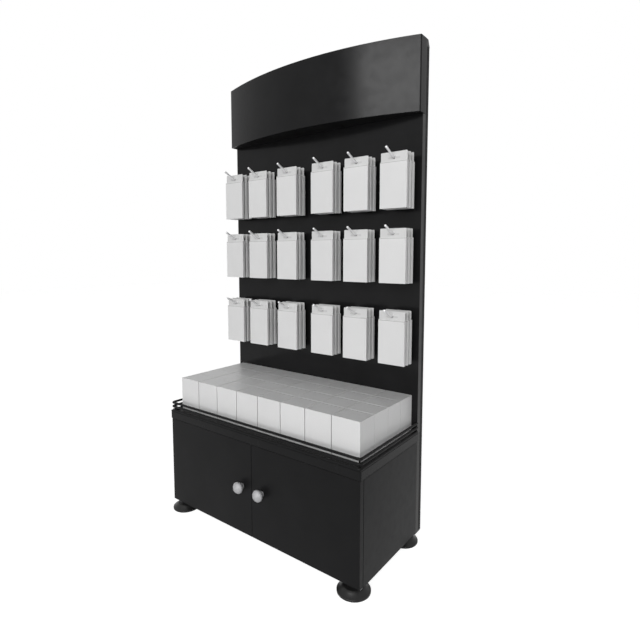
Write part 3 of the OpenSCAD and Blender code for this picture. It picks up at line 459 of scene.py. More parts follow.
@dataclass(frozen=True)
class Plated(Finish):
    """Zinc plate on drawn steel: patches of different shine, and lines left by drawing."""

    metallic: float = 1.0
    mottle: float = 0.06
    mottle_scale: float = 90.0
    shine_change: float = 0.06
    stretch: tuple[float, float, float] = (1400.0, 60.0, 1400.0)
    line_depth: float = 0.006 * MM
    tarnish: Colour = (0.42, 0.42, 0.41)

    def dress(self, work: Coating) -> None:
        """Layers patches of shine, tarnish and drawn lines.

        Args:
            work: The wiring of the material.
        """
        where = work.place()
        base = self.coat(work)
        lines = work.put(work.effects.streaks, Vector=where, Stretch=self.stretch, Depth=self.line_depth)
        share = work.spread(lines["Value"], 0.0, 0.18, 0.45, 0.8)
        tone = work.blend(share, base["Colour"], rgba(self.tarnish))
        work.finish(tone, base["Roughness"], lines["Normal"])


@dataclass(frozen=True)
class Turned(Finish):
    """Satin metal with the rings of a lathe tool round the axis of each knob."""

    metallic: float = 0.15
    mottle: float = 0.05
    mottle_scale: float = 60.0
    knob: str = "knob_right"
    ring_pitch: float = 0.5 * MM
    ring_depth: float = 0.008 * MM
    ring_tone: Colour = (0.35, 0.35, 0.36)
    anisotropy: float = 0.4

    def dress(self, work: Coating) -> None:
        """Turns the distance from the axis into rings of tone, shine and relief.

        Args:
            work: The wiring of the material.
        """
        low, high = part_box(self.knob)
        axis = (low + high) / 2
        place = work.add("ShaderNodeSeparateXYZ", {0: work.place()}).outputs
        across = work.math("SUBTRACT", work.math("ABSOLUTE", place["X"]), axis.x)
        up = work.math("SUBTRACT", place["Z"], axis.z)
        squares = [work.math("POWER", each, 2.0) for each in (across, up)]
        far = work.math("SQRT", work.math("ADD", *squares))
        ring_place = work.out("ShaderNodeCombineXYZ", {"X": far, "Y": place["Y"]})
        stretch = (1.0 / self.ring_pitch, 0.5 / self.ring_pitch, 1.0)
        rings = work.put(work.effects.streaks, Vector=ring_place, Stretch=stretch, Depth=self.ring_depth)
        base = self.coat(work)
        share = work.spread(rings["Value"], 0.0, 0.25, 0.3, 0.8)
        tone = work.blend(share, base["Colour"], rgba(self.ring_tone))
        work.shader["Anisotropic"].default_value = self.anisotropy
        work.finish(tone, base["Roughness"], rings["Normal"])


@dataclass(frozen=True)
class Card(Finish):
    """Blank white board with a thin coat over short fibres."""

    mottle: float = 0.012
    mottle_scale: float = 14.0
    shine_change: float = 0.06
    fibre_change: float = 0.03
    item_change: float = 0.03
    edge_change: float = 0.05
    fibre_depth: float = 0.01 * MM
    # The colour that faces marked as lying in shade are painted towards.
    uncoated: Colour = (0.24, 0.24, 0.23)

    def dress(self, work: Coating) -> None:
        """Layers fibres, the tone of each item, the change on edges, painted shade where the mesh marks it,
        and a change of shine.

        Args:
            work: The wiring of the material.
        """
        board = work.put(
            work.effects.fibre,
            Colour=rgba(self.colour),
            Fibre_Amount=self.fibre_change,
            Item_Amount=self.item_change,
            Edge_Amount=self.edge_change,
            Uncoated=rgba(self.uncoated),
            Depth=self.fibre_depth,
        )
        top = self.coat(work, board["Colour"])
        work.finish(top["Colour"], top["Roughness"], board["Normal"])


@dataclass(frozen=True)
class Timber(Finish):
    """Planed wood with its grain along x."""

    late_wood: Colour = (0.40, 0.26, 0.14)
    pore: Colour = (0.2, 0.13, 0.08)
    grain: tuple[float, float, float] = (6.0, 170.0, 170.0)
    grain_depth: float = 0.06 * MM
    pores: tuple[float, float, float] = (60.0, 1500.0, 1500.0)
    pore_depth: float = 0.03 * MM

    def dress(self, work: Coating) -> None:
        """Draws the grain and its pores.

        Args:
            work: The wiring of the material.
        """
        where = work.place()
        grain = work.put(work.effects.streaks, Vector=where, Stretch=self.grain, Depth=self.grain_depth)
        pores = work.put(work.effects.streaks, Vector=where, Stretch=self.pores, Depth=self.pore_depth)
        share = work.spread(grain["Value"], 0.0, 0.8, 0.4, 0.65)
        tone = work.blend(share, rgba(self.colour), rgba(self.late_wood))
        dark = work.spread(pores["Value"], 0.0, 0.35, 0.55, 0.75)
        tone = work.blend(dark, tone, rgba(self.pore))
        rough = work.spread(pores["Value"], self.roughness - 0.06, self.roughness + 0.1, *NOISE_CORE)
        work.finish(tone, rough, grain["Normal"])


FINISHES: tuple[Finish, ...] = (
    Lacquer("cabinet_lacquer", (0.0096, 0.0096, 0.0100), 0.36, 0.06),
    Lacquer("counter_gloss", (0.0095, 0.0095, 0.0099), 0.24, 0.08, wave_scale=180.0, dust=0.02),
    Lacquer("panel_lacquer", (0.0102, 0.0102, 0.0106), 0.17, 0.11, dust=0.02),
    Lacquer("header_gloss", (0.0104, 0.0104, 0.0108), 0.22, 0.088, wave_scale=140.0, grit=0.05),
    Lacquer("header_boards", (0.0095, 0.0095, 0.0098), 0.60, 0.06, mottle=0.2, grit=0.4),
    Lacquer(
        "frame_paint", (0.0075, 0.0075, 0.0078), 0.52, 0.08, wave_scale=1300.0, wave_depth=0.03 * MM, grit=0.5
    ),
    Lacquer("rail_paint", (0.0065, 0.0065, 0.0068), 0.44, 0.09, wave_scale=900.0, grit=0.3, dust=0.02),
    Lacquer("black_plastic", (0.0080, 0.0080, 0.0082), 0.36, 0.25, wave_scale=1100.0, grit=0.4, wear=0.15),
    Lacquer("black_screws", (0.0090, 0.0090, 0.0093), 0.50, 0.12, wave_scale=1500.0, grit=0.3, wear=0.0),
    Lacquer("white_nylon", (0.74, 0.74, 0.71), 0.42, 0.45, mottle=0.03, wave_scale=900.0, wear=0.0),
    Lacquer("buffer_rubber", (0.0140, 0.0140, 0.0142), 0.72, 0.3, wave_scale=1500.0, grit=0.8, wear=0.0),
    Plated("hook_plating", (0.80, 0.80, 0.81), 0.40, metallic=0.45),
    Plated("zinc_hardware", (0.60, 0.61, 0.63), 0.32, stretch=(500.0, 500.0, 500.0)),
    Turned("knob_satin", (0.44, 0.44, 0.45), 0.60),
    # On the packs, a negative edge change paints a highlight along the rounded edges.
    Card("pack_card", (0.74, 0.74, 0.74), 0.46, 0.45, edge_change=-0.08),
    Card("carton_card", (0.77, 0.77, 0.77), 0.38, 0.50, edge_change=0.02),
    Timber("bare_wood", (0.60, 0.44, 0.27), 0.60),
)


class FinishBook:
    """Every finish, built once, by the name of its slot."""

    def __init__(self) -> None:
        """Builds the materials of all the slots in the record."""
        effects = Effects()
        self.materials = {each.slot: each.build(effects) for each in FINISHES}
        self.slots = {name: each.data.materials[0].name for name, each in frame["nodes"].items()}
        missing = {each["slot"] for each in frame["record"]["materials"]} - set(self.materials)
        if missing:
            raise KeyError(f"no finish for {sorted(missing)}")

    def dress_nodes(self) -> None:
        """Gives every CAD node the finish of its slot, which is the name of the material it came with."""
        for name, each in frame["nodes"].items():
            for index in range(len(each.data.materials)):
                each.data.materials[index] = self.materials[self.slots[name]]
        LOG.info("dressed %d nodes", len(self.slots))


# Meshes


def link_object(name: str, mesh: bpy.types.Mesh) -> bpy.types.Object:
    """Puts a mesh into the scene.

    Args:
        name: The new object's name.
        mesh: Its mesh.

    Returns:
        The object, at the origin.
    """
    made = bpy.data.objects.new(name, mesh)
    bpy.context.scene.collection.objects.link(made)
    return made


def from_bmesh(name: str, shape: bmesh.types.BMesh) -> bpy.types.Object:
    """Turns a bmesh into an object and frees it.

    Args:
        name: The new object's name.
        shape: The bmesh.

    Returns:
        The object.
    """
    mesh = bpy.data.meshes.new(name)
    shape.to_mesh(mesh)
    shape.free()
    return link_object(name, mesh)


def settle(made: bpy.types.Object) -> bpy.types.Object:
    """Weighs an object's normals by area, applies its modifiers and clears them.

    Args:
        made: The object.

    Returns:
        The same object, with a plain mesh.
    """
    weighted = made.modifiers.new("weighted", "WEIGHTED_NORMAL")
    weighted.keep_sharp = True
    weighted.weight = 100
    graph = bpy.context.evaluated_depsgraph_get()
    plain = made.evaluated_get(graph)
    mesh = bpy.data.meshes.new_from_object(plain, preserve_all_data_layers=True, depsgraph=graph)
    made.modifiers.clear()
    made.data = mesh
    mesh.name = made.name
    return made


def smooth(made: bpy.types.Object, angle: float = SHARP_SHADE) -> bpy.types.Object:
    """Shades an object smooth, with flat faces kept flat and edges sharp past an angle.

    Args:
        made: The object.
        angle: The angle in degrees past which an edge stays sharp.

    Returns:
        The same object, with its modifiers applied.
    """
    made.data.shade_smooth()
    made.data.set_sharp_from_angle(angle=math.radians(angle))
    return settle(made)


def round_chosen(
    shape: bmesh.types.BMesh,
    chosen: Callable[[bmesh.types.BMEdge], bool],
    radius: float,
    steps: int,
    wear: float = 1.0,
    clamp: bool = True,
) -> None:
    """Rounds edges of a closed shape, and writes the edge attribute on the rounded faces.

    Args:
        shape: The shape.
        chosen: Tells whether an edge is rounded.
        radius: How far the round reaches from each edge.
        steps: The number of faces across the round.
        wear: The attribute's value, which rubs lacquer edges bare and, on the packs, paints a highlight.
        clamp: Whether rounds that meet are held apart.
    """
    marks = shape.faces.layers.float.get("edge") or shape.faces.layers.float.new("edge")
    made = bmesh.ops.bevel(
        shape,
        geom=[each for each in shape.edges if len(each.link_faces) == 2 and chosen(each)],
        offset=radius,
        offset_type="OFFSET",
        segments=steps,
        profile=0.5,
        affect="EDGES",
        clamp_overlap=clamp,
        loop_slide=clamp,
        material=-1,
    )
    for face in made["faces"]:
        face[marks] = wear


def round_edges(shape: bmesh.types.BMesh, radius: float, steps: int = 3) -> None:
    """Rounds all the sharp edges of a closed shape by a radius, with some faces across each round."""
    limit = math.radians(SHARP_CORNER)
    round_chosen(shape, lambda each: each.calc_face_angle(0.0) > limit, radius, steps)


def merged_shape(node: str) -> bmesh.types.BMesh:
    """Copies a CAD node's triangles as a joined shape with whole flat faces.

    Args:
        node: The node's name.

    Returns:
        The shape.
    """
    shape = bmesh.new()
    shape.from_mesh(frame["nodes"][node].data)
    bmesh.ops.remove_doubles(shape, verts=shape.verts, dist=0.002 * MM)
    bmesh.ops.dissolve_limit(shape, angle_limit=math.radians(FLAT), verts=shape.verts, edges=shape.edges)
    return shape


def islands(node: str) -> list[Box]:
    """Finds the separate solids of a CAD node.

    Args:
        node: The node's name.

    Returns:
        The box of each solid, sorted by place.
    """
    shape = merged_shape(node)
    left = set(shape.verts)
    boxes = []
    while left:
        start = left.pop()
        group, front = [start], [start]
        while front:
            for link in front.pop().link_edges:
                for vert in link.verts:
                    if vert in left:
                        left.discard(vert)
                        group.append(vert)
                        front.append(vert)
        places = [vert.co for vert in group]
        low = Vector([min(each[axis] for each in places) for axis in range(3)])
        high = Vector([max(each[axis] for each in places) for axis in range(3)])
        boxes.append((low, high))
    shape.free()
    return sorted(boxes, key=lambda box: tuple(round(value, 4) for value in box[0]))


def block(shape: bmesh.types.BMesh, low: Sequence[float], high: Sequence[float]) -> None:
    """Adds a closed block to a shape.

    Args:
        shape: The shape.
        low: The block's lowest corner.
        high: Its highest corner.
    """
    corners = [
        shape.verts.new((x, y, z))
        for z in (low[2], high[2])
        for y in (low[1], high[1])
        for x in (low[0], high[0])
    ]
    for face in ((0, 2, 3, 1), (4, 5, 7, 6), (0, 1, 5, 4), (2, 6, 7, 3), (0, 4, 6, 2), (1, 3, 7, 5)):
        shape.faces.new([corners[index] for index in face])


def loft(shape: bmesh.types.BMesh, rings: Sequence[Sequence[Sequence[float]]]) -> None:
    """Joins closed rings of the same number of points into a skin.

    Args:
        shape: The shape.
        rings: The points of each ring, in order. Its ends are filled, unless the last ring is the first.
    """
    rows = [[shape.verts.new(point) for point in ring] for ring in rings]
    count = len(rows[0])
    for first, second in zip(rows, rows[1:]):
        for index in range(count):
            after = (index + 1) % count
            shape.faces.new((first[index], first[after], second[after], second[index]))
    if rings[0] is rings[-1]:
        bmesh.ops.remove_doubles(shape, verts=shape.verts, dist=0.001 * MM)
    else:
        shape.faces.new(rows[0][::-1])
        shape.faces.new(rows[-1])
    bmesh.ops.recalc_face_normals(shape, faces=shape.faces)


def ring_points(radius: float, centre: Vector, count: int, axis: str = "z") -> list[Vector]:
    """Gives points round a circle.

    Args:
        radius: The circle's radius.
        centre: Its centre.
        count: The number of points.
        axis: The axis it turns round, y or z.

    Returns:
        The points.
    """
    points = []
    for index in range(count):
        angle = math.tau * index / count
        across, up = radius * math.cos(angle), radius * math.sin(angle)
        offset = Vector((across, up, 0.0)) if axis == "z" else Vector((across, 0.0, up))
        points.append(centre + offset)
    return points


def six_sided(flat: float, depth: float, count: int, limit: float = math.inf) -> list[Vector]:
    """Gives points round a six-sided outline that faces along y.

    Args:
        flat: The distance from its middle to each side.
        depth: Its place along y.
        count: The number of points, a multiple of six.
        limit: The largest distance of a point from its middle.

    Returns:
        The points.
    """
    points = []
    for index in range(count):
        angle = math.tau * index / count
        reach = min(flat / math.cos(angle % (math.tau / 6) - math.tau / 12), limit)
        points.append(Vector((reach * math.cos(angle), depth, reach * math.sin(angle))))
    return points


def arc_points(centre: Point, radius: float, start: float, end: float, steps: int) -> list[Point]:
    """Gives the points on an arc that part it into steps, from one angle in degrees to another."""
    angles = [math.radians(start + (end - start) * step / steps) for step in range(steps + 1)]
    return [(centre[0] + radius * math.cos(each), centre[1] + radius * math.sin(each)) for each in angles]


def commit(made: bpy.types.Object, body: str, stands_for: Sequence[str] = ()) -> None:
    """Hands a finished piece over to the frame.

    Args:
        made: The piece.
        body: The CAD body that it rides on.
        stands_for: The CAD nodes that it replaces.
    """
    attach(made, body)
    if stands_for:
        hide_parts(*stands_for)
    LOG.info("%s: %d faces, on %s", made.name, len(made.data.polygons), body)


def body_name(node: str) -> str:
    """The CAD body that a node rides on."""
    groups = frame["record"]["behaviour"]["bodies"]
    return next(name for name, members in groups.items() if node in members)


# Geometry Nodes trees


class Trees:
    """The Geometry Nodes trees: items put on places, a profile on a path, and a screw thread."""

    KINDS = {bool: "Bool", int: "Int", float: "Float"}
    BAR_POINTS = 20
    COIL_POINTS = 24
    RIDGE_POINTS = 4
    RIDGE_SHARE = 0.42
    TONE_SEED = 7.0

    def __init__(self) -> None:
        """Builds the trees."""
        self.scatter = self._scatter()
        self.sweep = self._sweep()
        self.thread = self._thread()

    def _tree(self, name: str, takes: dict[str, Any]) -> tuple[Any, Any, Wiring]:
        """Starts a tree.

        Args:
            name: The tree's name.
            takes: The default value of each input after the geometry, or the name of its kind.

        Returns:
            What the tree is given, the inputs of its output node, and its wiring.
        """
        tree = bpy.data.node_groups.new(name, "GeometryNodeTree")
        for label, value in {"Geometry": "Geometry", **takes, "Finish": "Material"}.items():
            kind = value if isinstance(value, str) else self.KINDS[type(value)]
            made = tree.interface.new_socket(name=label, in_out="INPUT", socket_type="NodeSocket" + kind)
            if not isinstance(value, str):
                made.default_value = value
        tree.interface.new_socket(name="Geometry", in_out="OUTPUT", socket_type="NodeSocketGeometry")
        wires = Wiring(tree)
        return wires.add("NodeGroupInput").outputs, wires.add("NodeGroupOutput").inputs, wires

    def _close(self, wires: Wiring, given: Any, end: Any, geometry: Any) -> bpy.types.NodeTree:
        """Ends a tree: real geometry with its sharp edges and its finish.

        Args:
            wires: The tree's wiring.
            given: What the tree is given.
            end: The inputs of its output node.
            geometry: What the tree has made.

        Returns:
            The whole tree.
        """
        shade = "GeometryNodeSetShadeSmooth"
        angle = wires.out("GeometryNodeInputMeshEdgeAngle")
        keen = wires.math("GREATER_THAN", angle, math.radians(SHARP_SHADE))
        real = wires.out("GeometryNodeRealizeInstances", {"Geometry": geometry})
        flat = wires.out(shade, {"Geometry": real, "Shade Smooth": True}, domain="FACE")
        sharp = {"Geometry": flat, "Selection": keen, "Shade Smooth": False}
        edged = wires.out(shade, sharp, domain="EDGE")
        dressed = wires.out("GeometryNodeSetMaterial", {"Geometry": edged, "Material": given["Finish"]})
        wires.join(end, Geometry=dressed)
        return wires.tree

    def _scatter(self) -> bpy.types.NodeTree:
        """One item on each point, each with a tone of its own.

        Returns:
            The tree.
        """
        given, end, wires = self._tree("items_on_places", {"Item": "Object", "Seed": 1})
        as_item = {"Object": given["Item"], "As Instance": True}
        item = wires.out("GeometryNodeObjectInfo", as_item, pick="Geometry")
        on_points = {"Points": given["Geometry"], "Instance": item}
        placed = wires.out("GeometryNodeInstanceOnPoints", on_points)
        tones = {"Min": 0.0, "Max": 1.0, "Seed": wires.math("ADD", given["Seed"], self.TONE_SEED)}
        tone = wires.out("FunctionNodeRandomValue", tones, pick="Value", data_type="FLOAT")
        named = {"Geometry": placed, "Name": "item", "Value": tone}
        toned = wires.out("GeometryNodeStoreNamedAttribute", named, data_type="FLOAT", domain="INSTANCE")
        return self._close(wires, given, end, toned)

    def _sweep(self) -> bpy.types.NodeTree:
        """A round bar or a strip with eased corners, carried along the edges of the input mesh.

        Returns:
            The tree.
        """
        takes = {"Round": False, "Width": 4.0 * MM, "Height": 20.0 * MM, "Corner Radius": 0.5 * MM}
        given, end, wires = self._tree("profile_on_path", takes)
        path = wires.out("GeometryNodeMeshToCurve", {"Mesh": given["Geometry"]})
        path = wires.out("GeometryNodeSetCurveNormal", {"Curve": path}, mode="Z_UP")
        size = {"Width": given["Width"], "Height": given["Height"]}
        box = wires.out("GeometryNodeCurvePrimitiveQuadrilateral", size, mode="RECTANGLE")
        corners = {"Curve": box, "Radius": given["Corner Radius"], "Limit Radius": True, "Count": 3}
        strip = wires.out("GeometryNodeFilletCurve", corners, mode="POLY")
        ring = self._circle(wires, wires.math("MULTIPLY", given["Width"], 0.5), self.BAR_POINTS)
        either = {"Switch": given["Round"], "False": strip, "True": ring}
        profile = wires.out("GeometryNodeSwitch", either, input_type="GEOMETRY")
        swept = {"Curve": path, "Profile Curve": profile, "Fill Caps": True}
        return self._close(wires, given, end, wires.out("GeometryNodeCurveToMesh", swept))

    def _circle(self, wires: Wiring, radius: Any, count: int) -> Any:
        """Adds a round profile with a number of points to a tree, and gives the curve."""
        inputs = {"Resolution": count, "Radius": radius}
        return wires.out("GeometryNodeCurvePrimitiveCircle", inputs, mode="RADIUS")

    def _thread(self) -> bpy.types.NodeTree:
        """A helical ridge along y, for the end of a threaded tail.

        Returns:
            The tree.
        """
        takes = {"Radius": 3.0 * MM, "Pitch": 1.0 * MM, "Turns": 2.0}
        given, end, wires = self._tree("screw_thread", takes)
        coil = {
            "Resolution": self.COIL_POINTS,
            "Rotations": given["Turns"],
            "Start Radius": given["Radius"],
            "End Radius": given["Radius"],
            "Height": wires.math("MULTIPLY", given["Pitch"], given["Turns"]),
        }
        helix = wires.out("GeometryNodeCurveSpiral", coil)
        ridge = wires.math("MULTIPLY", given["Pitch"], self.RIDGE_SHARE)
        profile = self._circle(wires, ridge, self.RIDGE_POINTS)
        swept = {"Curve": helix, "Profile Curve": profile, "Fill Caps": True}
        along_z = wires.out("GeometryNodeCurveToMesh", swept)
        turned = {"Geometry": along_z, "Rotation": (math.radians(-90.0), 0.0, 0.0)}
        return self._close(wires, given, end, wires.out("GeometryNodeTransform", turned))


def run_tree(made: bpy.types.Object, tree: bpy.types.NodeTree, **inputs: Any) -> bpy.types.Object:
    """Runs a Geometry Nodes tree on an object and keeps its result as a plain mesh.

    Args:
        made: The object.
        tree: The tree.
        **inputs: Its values, named as its inputs with _ for a space.

    Returns:
        The same object.
    """
    modifier = made.modifiers.new(tree.name, "NODES")
    modifier.node_group = tree
    sockets = {each.name: each.identifier for each in tree.interface.items_tree if each.in_out == "INPUT"}
    for key, value in inputs.items():
        modifier[sockets[key.replace("_", " ")]] = value
    return settle(made)


def path_object(name: str, points: Sequence[Sequence[float]], chained: bool = True) -> bpy.types.Object:
    """Makes points for a tree to work on, joined into a chain or not.

    Args:
        name: The object's name.
        points: The points.
        chained: Whether each point is joined to the next.

    Returns:
        The object.
    """
    edges = [(index, index + 1) for index in range(len(points) - 1)] if chained else []
    mesh = bpy.data.meshes.new(name)
    mesh.from_pydata([tuple(each) for each in points], edges, [])
    return link_object(name, mesh)


# Sub-assemblies


@dataclass
class Assembly:
    """What every sub-assembly has: the finishes and the Geometry Nodes trees."""

    book: FinishBook
    trees: Trees

    def build(self) -> None:
        """Builds the pieces and hands them over."""
        raise NotImplementedError

    def hand_over(
        self,
        name: str,
        shape: bmesh.types.BMesh,
        slot: str,
        stands_for: Sequence[str] = (),
        body: str = "stand",
        sharp: float = SHARP_SHADE,
    ) -> None:
        """Turns a shape into a smooth piece with its finish, and hands it over.

        Args:
            name: The piece's name.
            shape: The shape.
            slot: The record's slot of its finish.
            stands_for: The CAD nodes that it replaces.
            body: The CAD body that it rides on.
            sharp: The angle in degrees past which an edge stays sharp.
        """
        made = from_bmesh(name, shape)
        made.data.materials.clear()
        made.data.materials.append(self.book.materials[slot])
        commit(smooth(made, sharp), body, stands_for)

    def replace(self, node: str, shape: bmesh.types.BMesh) -> None:
        """Hands over a shape that stands for a CAD node, with its finish and on its body."""
        self.hand_over(node + "_piece", shape, self.book.slots[node], [node], body_name(node))

    def soften(self, node: str, radius: float, steps: int = 3, top_joint: float = 0.0) -> None:
        """Replaces a CAD node by a copy of itself with rounded, rubbed edges.

        Args:
            node: The node's name.
            radius: How far the round reaches from each edge.
            steps: The number of faces across the round.
            top_joint: How far its top face stays under the CAD node's.
        """
        shape = merged_shape(node)
        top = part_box(node)[1].z
        for corner in shape.verts:
            if corner.co.z > top - TOUCH:
                corner.co.z -= top_joint
        round_edges(shape, radius, steps)
        self.replace(node, shape)

    def repeat(
        self,
        name: str,
        item: bpy.types.Object,
        places: Sequence[Vector],
        slot: str,
        seed: int,
        stands_for: Sequence[str] = (),
    ) -> None:
        """Puts copies of an item on places as one piece, and hands it over.

        Args:
            name: The piece's name.
            item: The item, which is removed afterwards.
            places: Where each copy's origin goes.
            slot: The record's slot of its finish.
            seed: The seed of the items' tones.
            stands_for: The CAD nodes that it replaces.
        """
        made = path_object(name, places, chained=False)
        run_tree(made, self.trees.scatter, Item=item, Seed=seed, Finish=self.book.materials[slot])
        bpy.data.objects.remove(item)
        commit(made, "stand", stands_for)


@dataclass
class Cabinet(Assembly):
    """The carcase: sides, bottom, back, counter and shelf."""

    board_edge: float = 0.8 * MM
    counter_edge: float = 1.2 * MM
    counter_joint: float = 4.2 * MM

    def build(self) -> None:
        """Softens the boards' edges; the small hardware inside keeps its CAD shape."""
        for node in ("bottom_board", "inner_shelf"):
            self.soften(node, self.board_edge, steps=2)
        for node in ("side_left", "side_right"):
            self.soften(node, self.board_edge, steps=2, top_joint=self.counter_joint)
        self.soften("counter_top", self.counter_edge)


@dataclass
class Door(Assembly):
    """One door with what is fixed to it."""

    side: Side
    edge: float = 1.0 * MM
    top_joint: float = 0.8 * MM

    def build(self) -> None:
        """Softens the door's edges."""
        self.soften(f"door_{self.side.value}", self.edge, top_joint=self.top_joint)


@dataclass
class Feet(Assembly):
    """The four levelling feet: a smooth moulded cone on an upright rim, with a neck."""

    base_inset: float = 4.0 * MM
    rim_height: float = 7.0 * MM
    rim_round: float = 1.8 * MM
    base_round: float = 1.08 * MM
    cone_radius: float = 34.5 * MM
    cone_round: float = 2.0 * MM
    cone_steps: int = 8
    neck_radius: float = 16.0 * MM
    neck_fillet: float = 1.2 * MM
    neck_bevel: float = 0.8 * MM
    cone_height: float = 21.0 * MM
    cone_hollow: float = 0.9 * MM
    around: int = 96
    sharp: float = 60.0
    slot: str = "black_plastic"

    def profile(self, radius: float, height: float) -> list[Point]:
        """Gives the outline of a pad from its underside to the top of its neck.

        Args:
            radius: The pad's radius.
            height: The pad's height.

        Returns:
            Pairs of a radius and a height.
        """
        outline = [(radius - self.base_inset, 0.0)]
        outline += self.corner((radius, 0.0), self.base_round, -90.0, 0.0)
        outline += self.corner((radius, self.rim_height), self.rim_round, 0.0, 50.0)
        start = radius - self.rim_round
        slope = (self.cone_height - self.rim_height) / (start - self.cone_radius)
        for step in range(1, self.cone_steps):
            share = step / self.cone_steps
            across = start * (1 - share) + self.cone_radius * share
            up = self.rim_height + (start - across) * slope
            outline.append((across, up - self.cone_hollow * math.sin(math.pi * share)))
        outline += self.corner((self.cone_radius, self.cone_height), self.cone_round, 45.0, 90.0)
        fillet = self.neck_fillet
        for out, up in ((fillet, 0.0), (fillet / 4, fillet / 4), (0.0, fillet)):
            outline.append((self.neck_radius + out, self.cone_height + up))
        outline.append((self.neck_radius, height - self.neck_bevel))
        outline.append((self.neck_radius - self.neck_bevel, height))
        return outline

    @staticmethod
    def corner(tip: Point, radius: float, start: float, end: float) -> list[Point]:
        """Rounds an outer corner between two angles in degrees, as pairs of a radius and a height."""
        up = radius if start < 0 else -radius
        return arc_points((tip[0] - radius, tip[1] + up), radius, start, end, steps=4)

    def build(self) -> None:
        """Turns each pad round its own axis."""
        for place in ("front_left", "front_right", "rear_left", "rear_right"):
            node = "foot_pad_" + place
            low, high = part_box(node)
            centre = (low + high) / 2
            shape = bmesh.new()
            rings = [
                ring_points(across, Vector((centre.x, centre.y, up)), self.around)
                for across, up in self.profile((high.x - low.x) / 2, high.z)
            ]
            loft(shape, rings)
            self.hand_over(node + "_piece", shape, self.slot, [node], node, self.sharp)


@dataclass
class Gallery(Assembly):
    """The rail round the counter: three wires brazed to slim corner posts."""

    bead_width: float = 1.6 * MM
    bead_half: float = 2.4 * MM
    post_radius: float = 2.4 * MM
    post_ease: float = 0.6 * MM
    post_tail: float = 10.0 * MM
    post_around: int = 24
    seal_inset: float = 0.9 * MM
    seal_lift: float = 0.5 * MM
    seal_seat: float = 0.02 * MM
    seal_ease: float = 0.2 * MM
    slot: str = "rail_paint"

    def post(self, shape: bmesh.types.BMesh, corner: Box, top: float) -> Vector:
        """Turns a slim post that touches the wires from inside, within the room of the CAD post.

        Args:
            shape: The shape that gets it.
            corner: The box of the CAD post.
            top: The height of its upper end.

        Returns:
            The direction from the post's axis to the wires.
        """
        centre = (corner[0] + corner[1]) / 2
        room = (corner[1].x - corner[0].x) / 2
        outward = Vector((1.0 if centre.x > 0 else -1.0, 0.0 if centre.y > 0 else -1.0, 0.0)).normalized()
        middle = centre + outward * (room - self.post_radius)
        slim, tail = self.post_radius - self.post_ease, corner[0].z + self.post_tail
        rows = (
            (corner[0].z, slim),
            (tail, slim),
            (tail, self.post_radius),
            (top - self.post_ease, self.post_radius),
            (top, slim),
        )
        around = self.post_around
        loft(shape, [ring_points(radius, Vector((middle.x, middle.y, up)), around) for up, radius in rows])
        return outward

    def seal(self, wire: Box, counter: Box) -> bmesh.types.BMesh:
        """Runs a bead of sealant along the foot of the lowest wire, from the panel round both corners.

        Args:
            wire: The box of the lowest wire.
            counter: The box of the counter.

        Returns:
            The bead, from the wire's middle out to the counter's edge.
        """
        radius = (wire[1].z - wire[0].z) / 2
        reach = counter[1].x - self.seal_inset - wire[1].x
        floor = counter[1].z + self.seal_seat
        section = (
            (radius, floor),
            (-reach, floor),
            (-reach, floor + self.seal_lift),
            (self.seal_ease, floor + radius),
            (radius, floor + radius),
        )
        rings = []
        for side, rear in ((-1, True), (-1, False), (1, False), (1, True)):
            ring = []
            for inward, height in section:
                along = wire[1].y if rear else wire[0].y + inward
                ring.append(Vector((side * (wire[1].x - inward), along, height)))
            rings.append(ring)
        shape = bmesh.new()
        loft(shape, rings)
        return shape

    def build(self) -> None:
        """Turns the posts, beads them to the wires with braze, and seals the lowest wire."""
        wires = [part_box(f"gallery_wire_{name}") for name in ("lower", "middle", "upper")]
        levels = [(low.z + high.z) / 2 for low, high in wires]
        posts, seams = bmesh.new(), bmesh.new()
        for corner in islands("gallery_posts"):
            outward = self.post(posts, corner, levels[-1])
            centre, room = (corner[0] + corner[1]) / 2, (corner[1].x - corner[0].x) / 2
            along = Vector((-outward.y, outward.x, 0.0))
            for level in levels:
                touch = Vector((centre.x, centre.y, level)) + outward * room
                seams.edges.new([seams.verts.new(touch + along * self.bead_half * step) for step in (-1, 1)])
        self.hand_over("gallery_posts_piece", posts, self.slot, ["gallery_posts"])
        beads, width = from_bmesh("rail_beads", seams), self.bead_width
        finish = self.book.materials[self.slot]
        run_tree(beads, self.trees.sweep, Round=True, Width=width, Height=width, Finish=finish)
        commit(beads, "stand")
        self.hand_over("rail_seal", self.seal(wires[0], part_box("counter_top")), self.slot)


